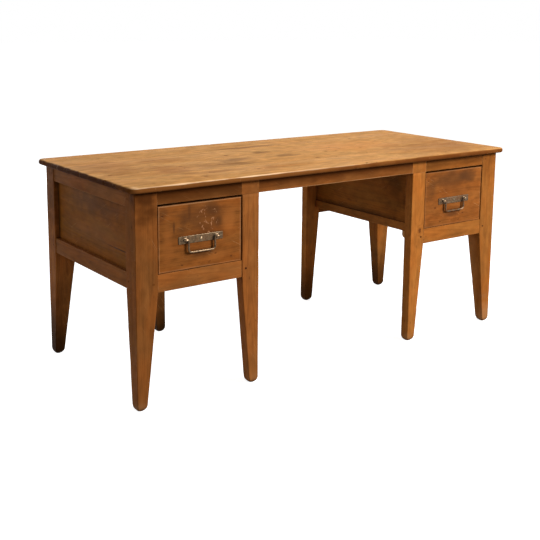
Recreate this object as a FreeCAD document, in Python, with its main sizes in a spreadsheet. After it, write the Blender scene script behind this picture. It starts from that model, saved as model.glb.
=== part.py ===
import FreeCAD, Part
import math
import os
import re

import Sketcher

# A pine writing desk with two drawer pedestals and an open kneehole between them.
# X runs along the desk, Y from front to back, Z up. The origin is on the floor,
# under the middle of the top, and all sizes are in millimetres.

SIZES = [
    # the whole desk
    ("desk_height", 770, "floor to the upper face of the top"),
    ("base_width", 1732, "outer face to outer face of the corner legs"),
    ("base_depth", 716, "front face to back face of the legs"),
    ("pedestal_width", 491, "corner leg's outer face to inner leg's kneehole face"),
    ("overrun", 4, "how far a cut runs past the wood"),
    # the top
    ("top_overhang", 27, "top beyond the legs on all four sides"),
    ("top_thickness", 20, "thickness of the boards"),
    ("top_corner_radius", 30, "rounding of the corners seen from above"),
    ("top_nose_radius", 8.5, "rounding of the edge all round"),
    ("tongue_thickness", 6, "tongue along each board's back edge"),
    ("tongue_length", 7, "reach of the tongue"),
    # the legs
    ("corner_leg_width", 83, "corner leg seen from the front"),
    ("corner_leg_depth", 69, "corner leg seen from the side"),
    ("corner_foot_width", 36, "corner leg at the floor, from the front"),
    ("corner_foot_depth", 40, "corner leg at the floor, from the side"),
    ("inner_leg_width", 73, "kneehole leg seen from the front"),
    ("inner_leg_depth", 39, "kneehole leg seen from the side"),
    ("inner_foot_width", 37, "kneehole leg at the floor"),
    ("leg_arris", 1.5, "bevel of the legs' long edges"),
    ("foot_bevel", 8, "bevel of the feet's lower edges"),
    ("stub_width", 36, "stub tenon on the kneehole leg's top"),
    ("stub_thickness", 13, "stub tenon from front to back"),
    ("stub_height", 24, "stub tenon's reach into the bearer"),
    ("stub_inset", 22, "stub tenon behind the leg's outer face"),
    # the rails
    ("front_thickness", 25, "front and back rails"),
    ("front_setback", 1.5, "front and back rails behind the legs' faces"),
    ("top_rail_height", 48.5, "front and back top rails, and the bearers"),
    ("opening_height", 235.5, "drawer opening"),
    ("front_bottom_height", 61.5, "rail under the drawer"),
    ("back_bottom_height", 53, "rail under the back panel"),
    ("side_thickness", 26, "outer side rails"),
    ("side_setback", 2.5, "outer side rails behind the legs' faces"),
    ("side_top_height", 56, "outer side top rail"),
    ("side_bottom_height", 57, "outer side bottom rail"),
    ("side_bottom_rise", 11.5, "underside of the outer side bottom rail above the front one's"),
    ("inner_rail_thickness", 23, "kneehole side rail, flush with the legs' drawer side"),
    ("inner_rail_height", 34.5, "kneehole side rail"),
    ("inner_rail_rise", 38.5, "underside of the kneehole side rail above the front bottom rail's"),
    ("rail_arris", 1, "bevel of the rails' outer long edges"),
    # the joints
    ("tenon_thickness", 10, "all tenons of the rails"),
    ("tenon_length", 28, "tenons into the corner legs and bearers"),
    ("short_tenon_length", 16, "tenons of the kneehole side rail"),
    ("tenon_inset", 8, "tenon behind the front rail's face"),
    ("tenon_shoulder", 8, "shoulder above and below a tenon"),
    ("mortise_play", 1, "room past a tenon's end"),
    ("peg_diameter", 8, "oak peg through a tenon"),
    ("peg_length", 23, "oak peg"),
    ("peg_edge", 17, "peg's centre from the leg's edge"),
    ("peg_proud", 0.6, "peg's end standing out of the leg"),
    # the panels
    ("panel_thickness", 10, "panels and their grooves"),
    ("side_panel_setback", 17, "outer side panel behind the legs' faces"),
    ("inner_panel_recess", 5, "kneehole panel behind its rail's face"),
    ("groove_depth", 8, "grooves for the panels"),
    ("panel_play", 1.5, "room at a panel's edge in its groove"),
    # what carries a drawer
    ("runner_thickness", 20, "runners under the drawer's sides"),
    ("runner_reach", 20, "runner inside the opening's side"),
    ("guide_width", 20, "guide beside the drawer"),
    ("guide_height", 18, "guide above the runner"),
    ("kicker_width", 40, "kicker over the drawer"),
    ("stop_width", 16, "drawer stop on the runner, from front to back"),
    ("stop_height", 12, "drawer stop above the runner"),
    ("stop_play", 0.3, "gap between the closed drawer and its stops"),
    # the glue blocks
    ("block_side", 24, "glue block under the top, both short sides"),
    ("block_length", 70, "glue block under the top"),
    ("bracket_length", 63, "block under the kneehole rail, along it"),
    ("bracket_height", 28, "block under the kneehole rail, downwards"),
    ("bracket_round", 14, "rounding of that block's free lower corner"),
    # the drawers
    ("drawer_side_play", 2.5, "gap each side of a drawer"),
    ("drawer_top_play", 7.5, "gap above a drawer"),
    ("drawer_floor_play", 0.3, "gap under a drawer's sides"),
    ("drawer_setback", 1, "drawer's face behind the rails' faces"),
    ("drawer_room", 47, "room between the closed drawer and the back rails"),
    ("drawer_front_thickness", 22, "drawer's front"),
    ("drawer_front_arris", 1.2, "bevel round the drawer's face"),
    ("drawer_side_thickness", 12, "drawer's sides"),
    ("drawer_back_thickness", 12, "drawer's back"),
    ("drawer_side_drop", 10, "sides below the front's upper edge"),
    ("drawer_lap", 6, "wood of the front that hides the dovetails"),
    ("drawer_bottom_thickness", 7, "drawer's bottom"),
    ("drawer_bottom_rise", 11, "underside of the bottom above the sides' edges"),
    ("drawer_groove_depth", 5, "grooves for the bottom"),
    ("drawer_bottom_play", 0.5, "room at the bottom's edges"),
    # the handles
    ("plate_length", 176, "iron back plate"),
    ("plate_height", 26, "iron back plate"),
    ("plate_thickness", 2.5, "iron back plate"),
    ("plate_drop", 10, "plate's middle below the drawer front's middle"),
    ("eye_spacing", 124, "middle to middle of the two eyes"),
    ("eye_diameter", 12, "eye's outside"),
    ("eye_length", 10, "eye along the pin"),
    ("eye_standoff", 8.5, "pin's axis in front of the drawer"),
    ("eye_play", 0.1, "room round the pin"),
    ("bail_diameter", 7, "iron rod of the bail"),
    ("bail_width", 105, "middle to middle of the bail's arms"),
    ("bail_drop", 43, "pin's axis to the middle of the grip"),
    ("bail_corner_radius", 12, "bend between arm and grip"),
    ("bail_pin_bend", 4, "bend between arm and pin"),
    ("bail_pin_end", 3, "pin's end past the eye"),
    ("screw_spacing", 76, "middle to middle of the plate's screws"),
    ("screw_diameter", 4, "screw's shank"),
    ("screw_length", 14, "screw's shank in the wood"),
    ("screw_head_diameter", 9, "domed head"),
    ("screw_head_height", 2.6, "domed head"),
]

TOP_BOARDS = 4
PEG_SIDES = 8
BAIL_SIDES = 8
TAILS = 3
TAIL_SHARE = 0.66
TAIL_SLOPE_SHARE = 0.16
CROWN_SHARE = 0.55

FRONT = 1
BACK = -1

document = FreeCAD.newDocument("Desk")
sheet = document.addObject("Spreadsheet::Sheet", "Sizes")
for row, (word, amount, meaning) in enumerate(SIZES, start=1):
    sheet.set(f"A{row}", word)
    sheet.set(f"B{row}", str(amount))
    sheet.set(f"C{row}", meaning)
    sheet.setAlias(f"B{row}", word)
document.recompute()

FLOAT = {word: float(amount) for word, amount, meaning in SIZES}
KEPT = []


def sized(text):
    """Turns the words of a sum of sizes into references to their cells."""
    return re.sub(r"[a-z_]+", lambda word: "Sizes." + word.group(0), text)


# Levels and stations that several pieces share, as sums of the sizes.
UNDER_TOP = "(desk_height - top_thickness)"
OPENING_TOP = f"({UNDER_TOP} - top_rail_height)"
OPENING_FLOOR = f"({OPENING_TOP} - opening_height)"
FRONT_BOTTOM = f"({OPENING_FLOOR} - front_bottom_height)"
BACK_BOTTOM = f"({OPENING_FLOOR} - back_bottom_height)"
SIDE_TOP = f"({UNDER_TOP} - side_top_height)"
SIDE_BOTTOM = f"({FRONT_BOTTOM} + side_bottom_rise)"
SIDE_BOTTOM_TOP = f"({SIDE_BOTTOM} + side_bottom_height)"
INNER_RAIL_LEVEL = f"({FRONT_BOTTOM} + inner_rail_rise)"
INNER_RAIL_TOP = f"({INNER_RAIL_LEVEL} + inner_rail_height)"
TOP_LENGTH = "(base_width + 2 * top_overhang)"
TOP_DEPTH = "(base_depth + 2 * top_overhang)"
BOARD_WIDTH = f"({TOP_DEPTH} / {TOP_BOARDS})"
OUTER_X = "(-base_width / 2)"
OPENING_X = f"({OUTER_X} + corner_leg_width)"
KNEEHOLE_X = f"({OUTER_X} + pedestal_width)"
OPENING_END_X = f"({KNEEHOLE_X} - inner_leg_width)"
OPENING_WIDTH = "(pedestal_width - corner_leg_width - inner_leg_width)"
FRONT_Y = "(-base_depth / 2)"
INSIDE_Y = "(front_setback + front_thickness)"
CLEAR_DEPTH = f"(base_depth - 2 * {INSIDE_Y})"
TENON_Y = "(front_setback + tenon_inset)"
INNER_PANEL_X = "(inner_rail_thickness - inner_panel_recess - panel_thickness)"


DRAWER_X = f"({OPENING_X} + drawer_side_play)"
DRAWER_Y = f"({FRONT_Y} + front_setback + drawer_setback)"
DRAWER_Z = f"({OPENING_FLOOR} + drawer_floor_play)"
DRAWER_WIDTH = f"({OPENING_WIDTH} - 2 * drawer_side_play)"
FRONT_HEIGHT = "(opening_height - drawer_top_play - drawer_floor_play)"
SIDE_HEIGHT = f"({FRONT_HEIGHT} - drawer_side_drop)"
BOTTOM_TOP = "(drawer_bottom_rise + drawer_bottom_thickness)"
DRAWER_LENGTH = f"({CLEAR_DEPTH} + front_thickness - drawer_setback - drawer_room)"
BACK_LINE = f"({DRAWER_LENGTH} - drawer_back_thickness)"


class Piece:
    """A body measured from its own corner; y runs into the desk from the front or from the back."""

    def __init__(self, name, corner, face=FRONT):
        self.body = document.addObject("PartDesign::Body", name)
        self.body.Label = name
        self.face = face
        x, y, z = corner
        self.body.setExpression(".Placement.Base.x", sized(x))
        self.body.setExpression(".Placement.Base.y", sized(y if face == FRONT else f"-({y})"))
        self.body.setExpression(".Placement.Base.z", sized(z))

    def plane(self, role):
        return [entry for entry in self.body.Origin.OriginFeatures if entry.Role == role][0]

    def deep(self, y, reach="0"):
        """A place y deep in the desk; for a back piece it is counted the other way."""
        return y if self.face == FRONT else f"-({y} + {reach})"

    def attach(self, feature, role, offset=("0", "0", "0")):
        feature.AttachmentSupport = [(self.plane(role), "")]
        feature.MapMode = "FlatFace"
        for axis, place in zip("xyz", offset):
            if place != "0":
                feature.setExpression(f".AttachmentOffset.Base.{axis}", sized(place))

    def outline(self, name, role, loops, lift="0"):
        """A sketch of closed straight-sided loops, every corner held by two sizes."""
        sketch = self.body.newObject("Sketcher::SketchObject", name)
        self.attach(sketch, role, ("0", "0", lift))
        for corners in loops:
            first = sketch.GeometryCount
            count = len(corners)
            for step in range(count):
                start = 2 * math.pi * step / count
                end = 2 * math.pi * (step + 1) / count
                sketch.addGeometry(Part.LineSegment(
                    FreeCAD.Vector(math.cos(start), math.sin(start), 0),
                    FreeCAD.Vector(math.cos(end), math.sin(end), 0)))
            for step, (across, up) in enumerate(corners):
                line = first + step
                after = first + (step + 1) % count
                sketch.addConstraint(Sketcher.Constraint("Coincident", line, 2, after, 1))
                hold(sketch, line, 1, "DistanceX", across)
                hold(sketch, line, 1, "DistanceY", up)
        return sketch

    def pad(self, name, sketch, length, reverse=False, both=False):
        return self.extrude("PartDesign::Pad", name, sketch, length, reverse, both)

    def pocket(self, name, sketch, length, reverse=False, both=False):
        return self.extrude("PartDesign::Pocket", name, sketch, length, reverse, both)

    def extrude(self, kind, name, sketch, length, reverse, both):
        feature = self.body.newObject(kind, name)
        feature.Profile = sketch
        feature.SideType = "Symmetric" if both else "One side"
        feature.Reversed = reverse
        feature.setExpression("Length", sized(length))
        sketch.Visibility = False
        return feature

    def into_desk(self, name, loop, length):
        """A section seen from the front, run straight into the desk."""
        sketch = self.outline(name + "_section", "XZ_Plane", [loop])
        return self.pad(name, sketch, length, reverse=self.face == FRONT)

    def along_desk(self, name, loop, length):
        """A section seen from the side, run along the desk."""
        turned = [(self.deep(y), z) for y, z in loop]
        sketch = self.outline(name + "_section", "YZ_Plane", [turned])
        return self.pad(name, sketch, length)

    def block(self, kind, name, corner, lengths):
        x, y, z = corner
        along, into, up = lengths
        feature = self.body.newObject(kind, name)
        self.attach(feature, "XY_Plane", (x, self.deep(y, into), z))
        feature.setExpression("Length", sized(along))
        feature.setExpression("Width", sized(into))
        feature.setExpression("Height", sized(up))
        return feature

    def add(self, name, corner, lengths):
        return self.block("PartDesign::AdditiveBox", name, corner, lengths)

    def cut(self, name, corner, lengths):
        return self.block("PartDesign::SubtractiveBox", name, corner, lengths)

    def rod(self, kind, name, role, offset, diameter, length):
        """A round or peg-sided feature square to one of the body's planes."""
        feature = self.body.newObject(kind, name)
        self.attach(feature, role, offset)
        if kind.endswith("Prism"):
            feature.Polygon = PEG_SIDES
            feature.setExpression("Circumradius", sized(f"{diameter} / 2"))
        else:
            feature.setExpression("Radius", sized(f"{diameter} / 2"))
        feature.setExpression("Height", sized(length))
        return feature

    def bore_into(self, name, x, z, start, depth, diameter):
        """The hole of a peg or screw seen from the front, from start to start + depth."""
        back_edge = f"-({start} + {depth})" if self.face == FRONT else start
        offset = (x, z, back_edge)
        return self.rod("PartDesign::SubtractivePrism", name, "XZ_Plane", offset, diameter, depth)

    def bore_along(self, name, y, z, start, depth, diameter):
        """The hole of a peg seen from the side, from start to start + depth."""
        offset = (self.deep(y), z, start)
        return self.rod("PartDesign::SubtractivePrism", name, "YZ_Plane", offset, diameter, depth)

    def fillet(self, name, radius, chosen):
        return self.ease("PartDesign::Fillet", name, "Radius", radius, chosen)

    def bevel(self, name, size, chosen):
        return self.ease("PartDesign::Chamfer", name, "Size", size, chosen)

    def ease(self, kind, name, measure, amount, chosen):
        """Rounds or bevels the edges of the piece so far for which chosen(start, end) is true."""
        document.recompute()
        base = self.body.Tip
        names = []
        for number, edge in enumerate(base.Shape.Edges, start=1):
            start = edge.Vertexes[0].Point
            end = edge.Vertexes[-1].Point
            if chosen(start, end):
                names.append(f"Edge{number}")
        feature = self.body.newObject(kind, name)
        feature.Base = (base, names)
        feature.setExpression(measure, sized(amount))
        return feature


def hold(sketch, geometry, point, kind, place):
    """Ties one coordinate of a point to a sum of sizes, or to the axis where the sum is zero."""
    if place == "0":
        sketch.addConstraint(Sketcher.Constraint(
            "PointOnObject", geometry, point, -2 if kind == "DistanceX" else -1))
        return
    name = f"{kind}_{geometry}_{point}"
    index = sketch.addConstraint(Sketcher.Constraint(kind, -1, 1, geometry, point, 1.0))
    sketch.renameConstraint(index, name)
    sketch.setExpression(f"Constraints.{name}", sized(place))


def rectangle(x, y, width, height):
    return [(x, y), (f"{x} + {width}", y), (f"{x} + {width}", f"{y} + {height}"), (x, f"{y} + {height}")]


def is_upright(start, end):
    return abs(end.z - start.z) > 0.9 * start.distanceToPoint(end)


def is_along(axis):
    """Edges that run along the desk ("x") or into it ("y")."""
    def test(start, end):
        return abs(getattr(end, axis) - getattr(start, axis)) > 0.9 * start.distanceToPoint(end)
    return test


def mirrored(name, source):
    """The same piece for the right-hand pedestal."""
    piece = document.addObject("Part::Mirroring", name)
    piece.Label = name
    piece.Source = source
    piece.Normal = FreeCAD.Vector(1, 0, 0)
    KEPT.append(piece)
    return piece


def both_pedestals(body):
    """Keeps a left-hand piece and its right-hand twin."""
    KEPT.append(body)
    mirrored(body.Label.replace("left", "right", 1), body)
    return body


# The top: boards joined by tongues and grooves, with one rounded nose all round.
def top_slab():
    slab = Piece("top_slab", (f"(-{TOP_LENGTH} / 2)", f"(-{TOP_DEPTH} / 2)", UNDER_TOP))
    plan = slab.outline("plan", "XY_Plane", [rectangle("0", "0", TOP_LENGTH, TOP_DEPTH)])
    slab.pad("slab", plan, "top_thickness")
    slab.fillet("corners", "top_corner_radius", is_upright)
    slab.fillet("nose", "top_nose_radius", lambda start, end: abs(end.z - start.z) < FLOAT["top_nose_radius"])
    return slab.body


def board_stock(name, number):
    """A board's section: a tongue at the back edge, a groove at the front edge."""
    start = f"({BOARD_WIDTH} * {number})"
    end = f"({BOARD_WIDTH} * {number + 1})"
    low = "((top_thickness - tongue_thickness) / 2)"
    high = "((top_thickness + tongue_thickness) / 2)"
    section = [(start, "0"), (end, "0")]
    if number < TOP_BOARDS - 1:
        tip = f"{end} + tongue_length"
        section += [(end, low), (tip, low), (tip, high), (end, high)]
    section += [(end, "top_thickness"), (start, "top_thickness")]
    if number > 0:
        bottom = f"{start} + tongue_length"
        section += [(start, high), (bottom, high), (bottom, low), (start, low)]
    stock = Piece(name, (f"(-{TOP_LENGTH} / 2)", f"(-{TOP_DEPTH} / 2)", UNDER_TOP))
    stock.along_desk("board", section, TOP_LENGTH)
    return stock.body


def top_boards():
    slab = top_slab()
    names = ["top_front_board", "top_second_board", "top_third_board", "top_back_board"]
    for number, name in enumerate(names):
        board = document.addObject("Part::Common", name)
        board.Label = name
        board.Base = slab
        board.Tool = board_stock(name + "_stock", number)
        KEPT.append(board)


# The legs: the corner legs taper on their two inner faces, the kneehole legs on one.
def tenon_span(low, height):
    """Where a rail's tenon starts above the floor, and how tall it is."""
    return f"({low} + tenon_shoulder)", f"({height} - 2 * tenon_shoulder)"


RAILS_OF_FRONT = [(OPENING_TOP, "top_rail_height"), (FRONT_BOTTOM, "front_bottom_height")]
RAILS_OF_BACK = [(OPENING_TOP, "top_rail_height"), (BACK_BOTTOM, "back_bottom_height")]
RAILS_OF_SIDE = [(SIDE_TOP, "side_top_height"), (SIDE_BOTTOM, "side_bottom_height")]


def beyond(place, way, amount):
    return f"({place} {'+' if way > 0 else '-'} ({amount}))"


def corner_triangle(u, v, way_u, way_v, size):
    """What a bevel takes off the corner at (u, v); the ways point out of the wood."""
    out_u = beyond(u, way_u, "overrun")
    out_v = beyond(v, way_v, "overrun")
    in_u = beyond(u, -way_u, f"{size} + overrun")
    in_v = beyond(v, -way_v, f"{size} + overrun")
    return [(out_u, out_v), (in_u, out_v), (out_u, in_v)]


def post(leg, width, depth, top):
    """A leg before it is tapered, its long edges bevelled."""
    section = [("leg_arris", "0"), (f"{width} - leg_arris", "0"), (width, "leg_arris"),
               (width, f"{depth} - leg_arris"), (f"{width} - leg_arris", depth), ("leg_arris", depth),
               ("0", f"{depth} - leg_arris"), ("0", "leg_arris")]
    turned = [(x, leg.deep(y)) for x, y in section]
    leg.pad("post", leg.outline("section", "XY_Plane", [turned]), top)


def taper(leg, name, role, head, foot, way):
    """Slopes one side from head, below the front bottom rail, to foot at the floor."""
    out = beyond(head, way, "overrun")
    loop = [(head, FRONT_BOTTOM), (foot, "0"), (out, "0"), (out, FRONT_BOTTOM)]
    if role == "YZ_Plane":
        loop = [(leg.deep(y), z) for y, z in loop]
    leg.pocket(name, leg.outline(name + "_lines", role, [loop]), "2 * corner_leg_width", both=True)


def sloped_bevel(leg, name, foot, head, ways):
    """Bevels the sloping edge from foot, a corner at the floor, up to head."""
    triangle = corner_triangle(*foot, *ways, "leg_arris")
    turned = [(x, leg.deep(y)) for x, y in triangle]
    cut = leg.pocket(name, leg.outline(name + "_section", "XY_Plane", [turned]), FRONT_BOTTOM)
    cut.UseCustomVector = True
    cut.AlongSketchNormal = True
    cut.setExpression(".Direction.x", sized(f"({head[0]} - {foot[0]}) / {FRONT_BOTTOM}"))
    cut.setExpression(".Direction.y", sized(f"{leg.face} * ({head[1]} - {foot[1]}) / {FRONT_BOTTOM}"))
    cut.setExpression(".Direction.z", "1")


def foot_bevels(leg, left, right, back):
    across = [corner_triangle(left, "0", -1, -1, "foot_bevel"),
              corner_triangle(right, "0", 1, -1, "foot_bevel")]
    lines = leg.outline("foot_lines_across", "XZ_Plane", across)
    leg.pocket("foot_across", lines, "2 * corner_leg_width", both=True)
    into = [corner_triangle("0", "0", -1, -1, "foot_bevel"), corner_triangle(back, "0", 1, -1, "foot_bevel")]
    turned = [[(leg.deep(y), z) for y, z in loop] for loop in into]
    lines = leg.outline("foot_lines_into", "YZ_Plane", turned)
    leg.pocket("foot_into", lines, "2 * corner_leg_width", both=True)


def corner_leg(name, face):
    leg = Piece(name, (OUTER_X, FRONT_Y, "0"), face)
    post(leg, "corner_leg_width", "corner_leg_depth", UNDER_TOP)
    taper(leg, "taper_across", "XZ_Plane", "corner_leg_width", "corner_foot_width", 1)
    taper(leg, "taper_into", "YZ_Plane", "corner_leg_depth", "corner_foot_depth", 1)
    sloped_bevel(leg, "front_bevel", ("corner_foot_width", "0"), ("corner_leg_width", "0"), (1, -1))
    sloped_bevel(leg, "inner_bevel", ("corner_foot_width", "corner_foot_depth"),
                 ("corner_leg_width", "corner_leg_depth"), (1, 1))
    sloped_bevel(leg, "back_bevel", ("0", "corner_foot_depth"), ("0", "corner_leg_depth"), (-1, 1))
    foot_bevels(leg, "0", "corner_foot_width", "corner_foot_depth")
    rails = RAILS_OF_FRONT if face == FRONT else RAILS_OF_BACK
    mortise_depth = "(tenon_length + mortise_play)"
    for number, (low, height) in enumerate(rails):
        z, tall = tenon_span(low, height)
        leg.cut(f"rail_mortise_{number}", (f"corner_leg_width - {mortise_depth}", TENON_Y, z),
                (f"{mortise_depth} + overrun", "tenon_thickness", tall))
        leg.bore_into(f"rail_peg_hole_{number}", "corner_leg_width - peg_edge", f"{z} + {tall} / 2",
                      "-overrun", "peg_length - peg_proud + overrun", "peg_diameter")
    for number, (low, height) in enumerate(RAILS_OF_SIDE):
        z, tall = tenon_span(low, height)
        leg.cut(f"side_mortise_{number}", ("side_panel_setback", f"corner_leg_depth - {mortise_depth}", z),
                ("tenon_thickness", f"{mortise_depth} + overrun", tall))
        leg.bore_along(f"side_peg_hole_{number}", "corner_leg_depth - peg_edge", f"{z} + {tall} / 2",
                       "-overrun", "side_panel_setback + tenon_thickness + overrun", "peg_diameter")
    groove_start = f"({SIDE_BOTTOM_TOP} - groove_depth)"
    leg.cut("side_groove", ("side_panel_setback", "corner_leg_depth - groove_depth", groove_start),
            ("panel_thickness", "groove_depth + overrun", f"{SIDE_TOP} - {groove_start} + groove_depth"))
    if face == BACK:
        groove_start = f"({OPENING_FLOOR} - groove_depth)"
        leg.cut("back_groove", ("corner_leg_width - groove_depth", TENON_Y, groove_start),
                ("groove_depth + overrun", "panel_thickness", "opening_height + 2 * groove_depth"))
    return leg.body


def kneehole_leg(name, face):
    leg = Piece(name, (OPENING_END_X, FRONT_Y, "0"), face)
    foot_x = "(inner_leg_width - inner_foot_width)"
    post(leg, "inner_leg_width", "inner_leg_depth", OPENING_TOP)
    taper(leg, "taper_across", "XZ_Plane", "0", foot_x, -1)
    sloped_bevel(leg, "front_bevel", (foot_x, "0"), ("0", "0"), (-1, -1))
    sloped_bevel(leg, "back_bevel", (foot_x, "inner_leg_depth"), ("0", "inner_leg_depth"), (-1, 1))
    foot_bevels(leg, foot_x, "inner_leg_width", "inner_leg_depth")
    leg.add("stub", ("(inner_leg_width - stub_width) / 2", "stub_inset", OPENING_TOP),
            ("stub_width", "stub_thickness", "stub_height"))
    low, height = (RAILS_OF_FRONT if face == FRONT else RAILS_OF_BACK)[1]
    z, tall = tenon_span(low, height)
    leg.cut("rail_mortise", ("-overrun", TENON_Y, z),
            ("tenon_length + mortise_play + overrun", "tenon_thickness", tall))
    leg.bore_into("rail_peg_hole", "peg_edge", f"{z} + {tall} / 2",
                  "-overrun", "peg_length - peg_proud + overrun", "peg_diameter")
    z, tall = tenon_span(INNER_RAIL_LEVEL, "inner_rail_height")
    leg.cut("side_mortise", (INNER_PANEL_X, "inner_leg_depth - short_tenon_length - mortise_play", z),
            ("tenon_thickness", "short_tenon_length + mortise_play + overrun", tall))
    groove_start = f"({INNER_RAIL_TOP} - groove_depth)"
    leg.cut("side_groove", (INNER_PANEL_X, "inner_leg_depth - groove_depth", groove_start),
            ("panel_thickness", "groove_depth + overrun", f"{OPENING_TOP} - {groove_start}"))
    if face == BACK:
        leg.cut("back_groove", ("-overrun", TENON_Y, f"{OPENING_FLOOR} - groove_depth"),
                ("groove_depth + overrun", "panel_thickness", "opening_height + groove_depth"))
    return leg.body


# The bearers lie on the kneehole legs from front to back and take the ends of the top rails.
def bearer():
    beam = Piece("left_bearer", (OPENING_END_X, f"({FRONT_Y} + front_setback)", OPENING_TOP))
    length = "(base_depth - 2 * front_setback)"
    beam.into_desk("beam", rectangle("0", "0", "inner_leg_width", "top_rail_height"), length)
    z, tall = tenon_span("0", "top_rail_height")
    mortise_depth = "(tenon_length + mortise_play)"
    leg_end = "(inner_leg_depth - front_setback)"
    for end in ("front", "back"):
        def at(y, reach, end=end):
            return y if end == "front" else f"({length} - {y} - {reach})"
        for side, x in (("outer", "-overrun"), ("inner", f"inner_leg_width - {mortise_depth}")):
            beam.cut(f"{end}_{side}_mortise", (x, at("tenon_inset", "tenon_thickness"), z),
                     (f"{mortise_depth} + overrun", "tenon_thickness", tall))
        stub_y = at("(stub_inset - front_setback)", "stub_thickness")
        beam.cut(f"{end}_leg_mortise", ("(inner_leg_width - stub_width) / 2", stub_y, "-overrun"),
                 ("stub_width", "stub_thickness", "overrun + stub_height + mortise_play"))
    groove_start = f"({leg_end} - groove_depth)"
    beam.cut("panel_groove", (INNER_PANEL_X, groove_start, "-overrun"),
             ("panel_thickness", f"{length} - 2 * {groove_start}", "overrun + groove_depth"))
    beam.cut("back_panel_groove", ("-overrun", f"{length} - tenon_inset - panel_thickness", "-overrun"),
             ("overrun + groove_depth", "panel_thickness", "overrun + groove_depth"))
    return beam.body


# The front and back rails, with a tenon at each end.
def cross_rail(name, x, length, low, height, face, groove=None, pegs=(), end_reach="tenon_length"):
    rail = Piece(name, (x, f"({FRONT_Y} + front_setback)", low), face)
    section = rectangle("0", "0", "front_thickness", height)
    panel_y = "tenon_inset"
    panel_back = "(tenon_inset + panel_thickness)"
    if groove == "top":
        section = [("0", "0"), ("front_thickness", "0"), ("front_thickness", height),
                   (panel_back, height), (panel_back, f"{height} - groove_depth"),
                   (panel_y, f"{height} - groove_depth"), (panel_y, height), ("0", height)]
    if groove == "bottom":
        section = [("0", "0"), (panel_y, "0"), (panel_y, "groove_depth"), (panel_back, "groove_depth"),
                   (panel_back, "0"), ("front_thickness", "0"), ("front_thickness", height), ("0", height)]
    rail.along_desk("rail", section, length)

    def outer_edge(start, end):
        return is_along("x")(start, end) and abs(start.y) < FLOAT["rail_arris"]
    rail.bevel("arris", "rail_arris", outer_edge)
    z, tall = tenon_span("0", height)
    for end, start in (("left", f"-{end_reach}"), ("right", length)):
        rail.add(f"{end}_tenon", (start, "tenon_inset", z), (end_reach, "tenon_thickness", tall))
    for end in pegs:
        middle = "-peg_edge" if end == "left" else f"{length} + peg_edge"
        rail.bore_into(f"{end}_peg_hole", middle, f"{z} + {tall} / 2",
                       "0", "peg_length - peg_proud - front_setback", "peg_diameter")
    return rail.body


# The rails that run from front to back, grooved for the side panels.
def side_rail(name, low, height, groove):
    rail = Piece(name, (f"({OUTER_X} + side_setback)", f"({FRONT_Y} + corner_leg_depth)", low))
    length = "(base_depth - 2 * corner_leg_depth)"
    near = "(side_panel_setback - side_setback)"
    far = f"({near} + panel_thickness)"
    if groove == "top":
        section = [("0", "0"), ("side_thickness", "0"), ("side_thickness", height), (far, height),
                   (far, f"{height} - groove_depth"), (near, f"{height} - groove_depth"),
                   (near, height), ("0", height)]
    else:
        section = [("0", "0"), (near, "0"), (near, "groove_depth"), (far, "groove_depth"), (far, "0"),
                   ("side_thickness", "0"), ("side_thickness", height), ("0", height)]
    rail.into_desk("rail", section, length)

    def outer_edge(start, end):
        return is_along("y")(start, end) and abs(start.x) < FLOAT["rail_arris"]
    rail.bevel("arris", "rail_arris", outer_edge)
    z, tall = tenon_span("0", height)
    for end, start in (("front", "-tenon_length"), ("back", length)):
        rail.add(f"{end}_tenon", (near, start, z), ("tenon_thickness", "tenon_length", tall))
        middle = "-peg_edge" if end == "front" else f"{length} + peg_edge"
        rail.bore_along(f"{end}_peg_hole", middle, f"{z} + {tall} / 2",
                        "0", "side_thickness", "peg_diameter")
    return rail.body


def kneehole_rail():
    rail = Piece("left_kneehole_rail", (OPENING_END_X, f"({FRONT_Y} + inner_leg_depth)", INNER_RAIL_LEVEL))
    length = "(base_depth - 2 * inner_leg_depth)"
    height = "inner_rail_height"
    far = f"({INNER_PANEL_X} + panel_thickness)"
    section = [("0", "0"), ("inner_rail_thickness", "0"), ("inner_rail_thickness", height), (far, height),
               (far, f"{height} - groove_depth"), (INNER_PANEL_X, f"{height} - groove_depth"),
               (INNER_PANEL_X, height), ("0", height)]
    rail.into_desk("rail", section, length)

    def outer_edge(start, end):
        face = FLOAT["inner_rail_thickness"]
        return is_along("y")(start, end) and abs(start.x - face) < FLOAT["rail_arris"]
    rail.bevel("arris", "rail_arris", outer_edge)
    z, tall = tenon_span("0", height)
    for end, start in (("front", "-short_tenon_length"), ("back", length)):
        rail.add(f"{end}_tenon", (INNER_PANEL_X, start, z), ("tenon_thickness", "short_tenon_length", tall))
    return rail.body


# The panels stand loose in their grooves.
def panel(name, corner, across, into, up, face=FRONT):
    sheet_of_wood = Piece(name, corner, face)
    sheet_of_wood.into_desk("board", rectangle("0", "0", across, up), into)
    return sheet_of_wood.body


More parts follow.
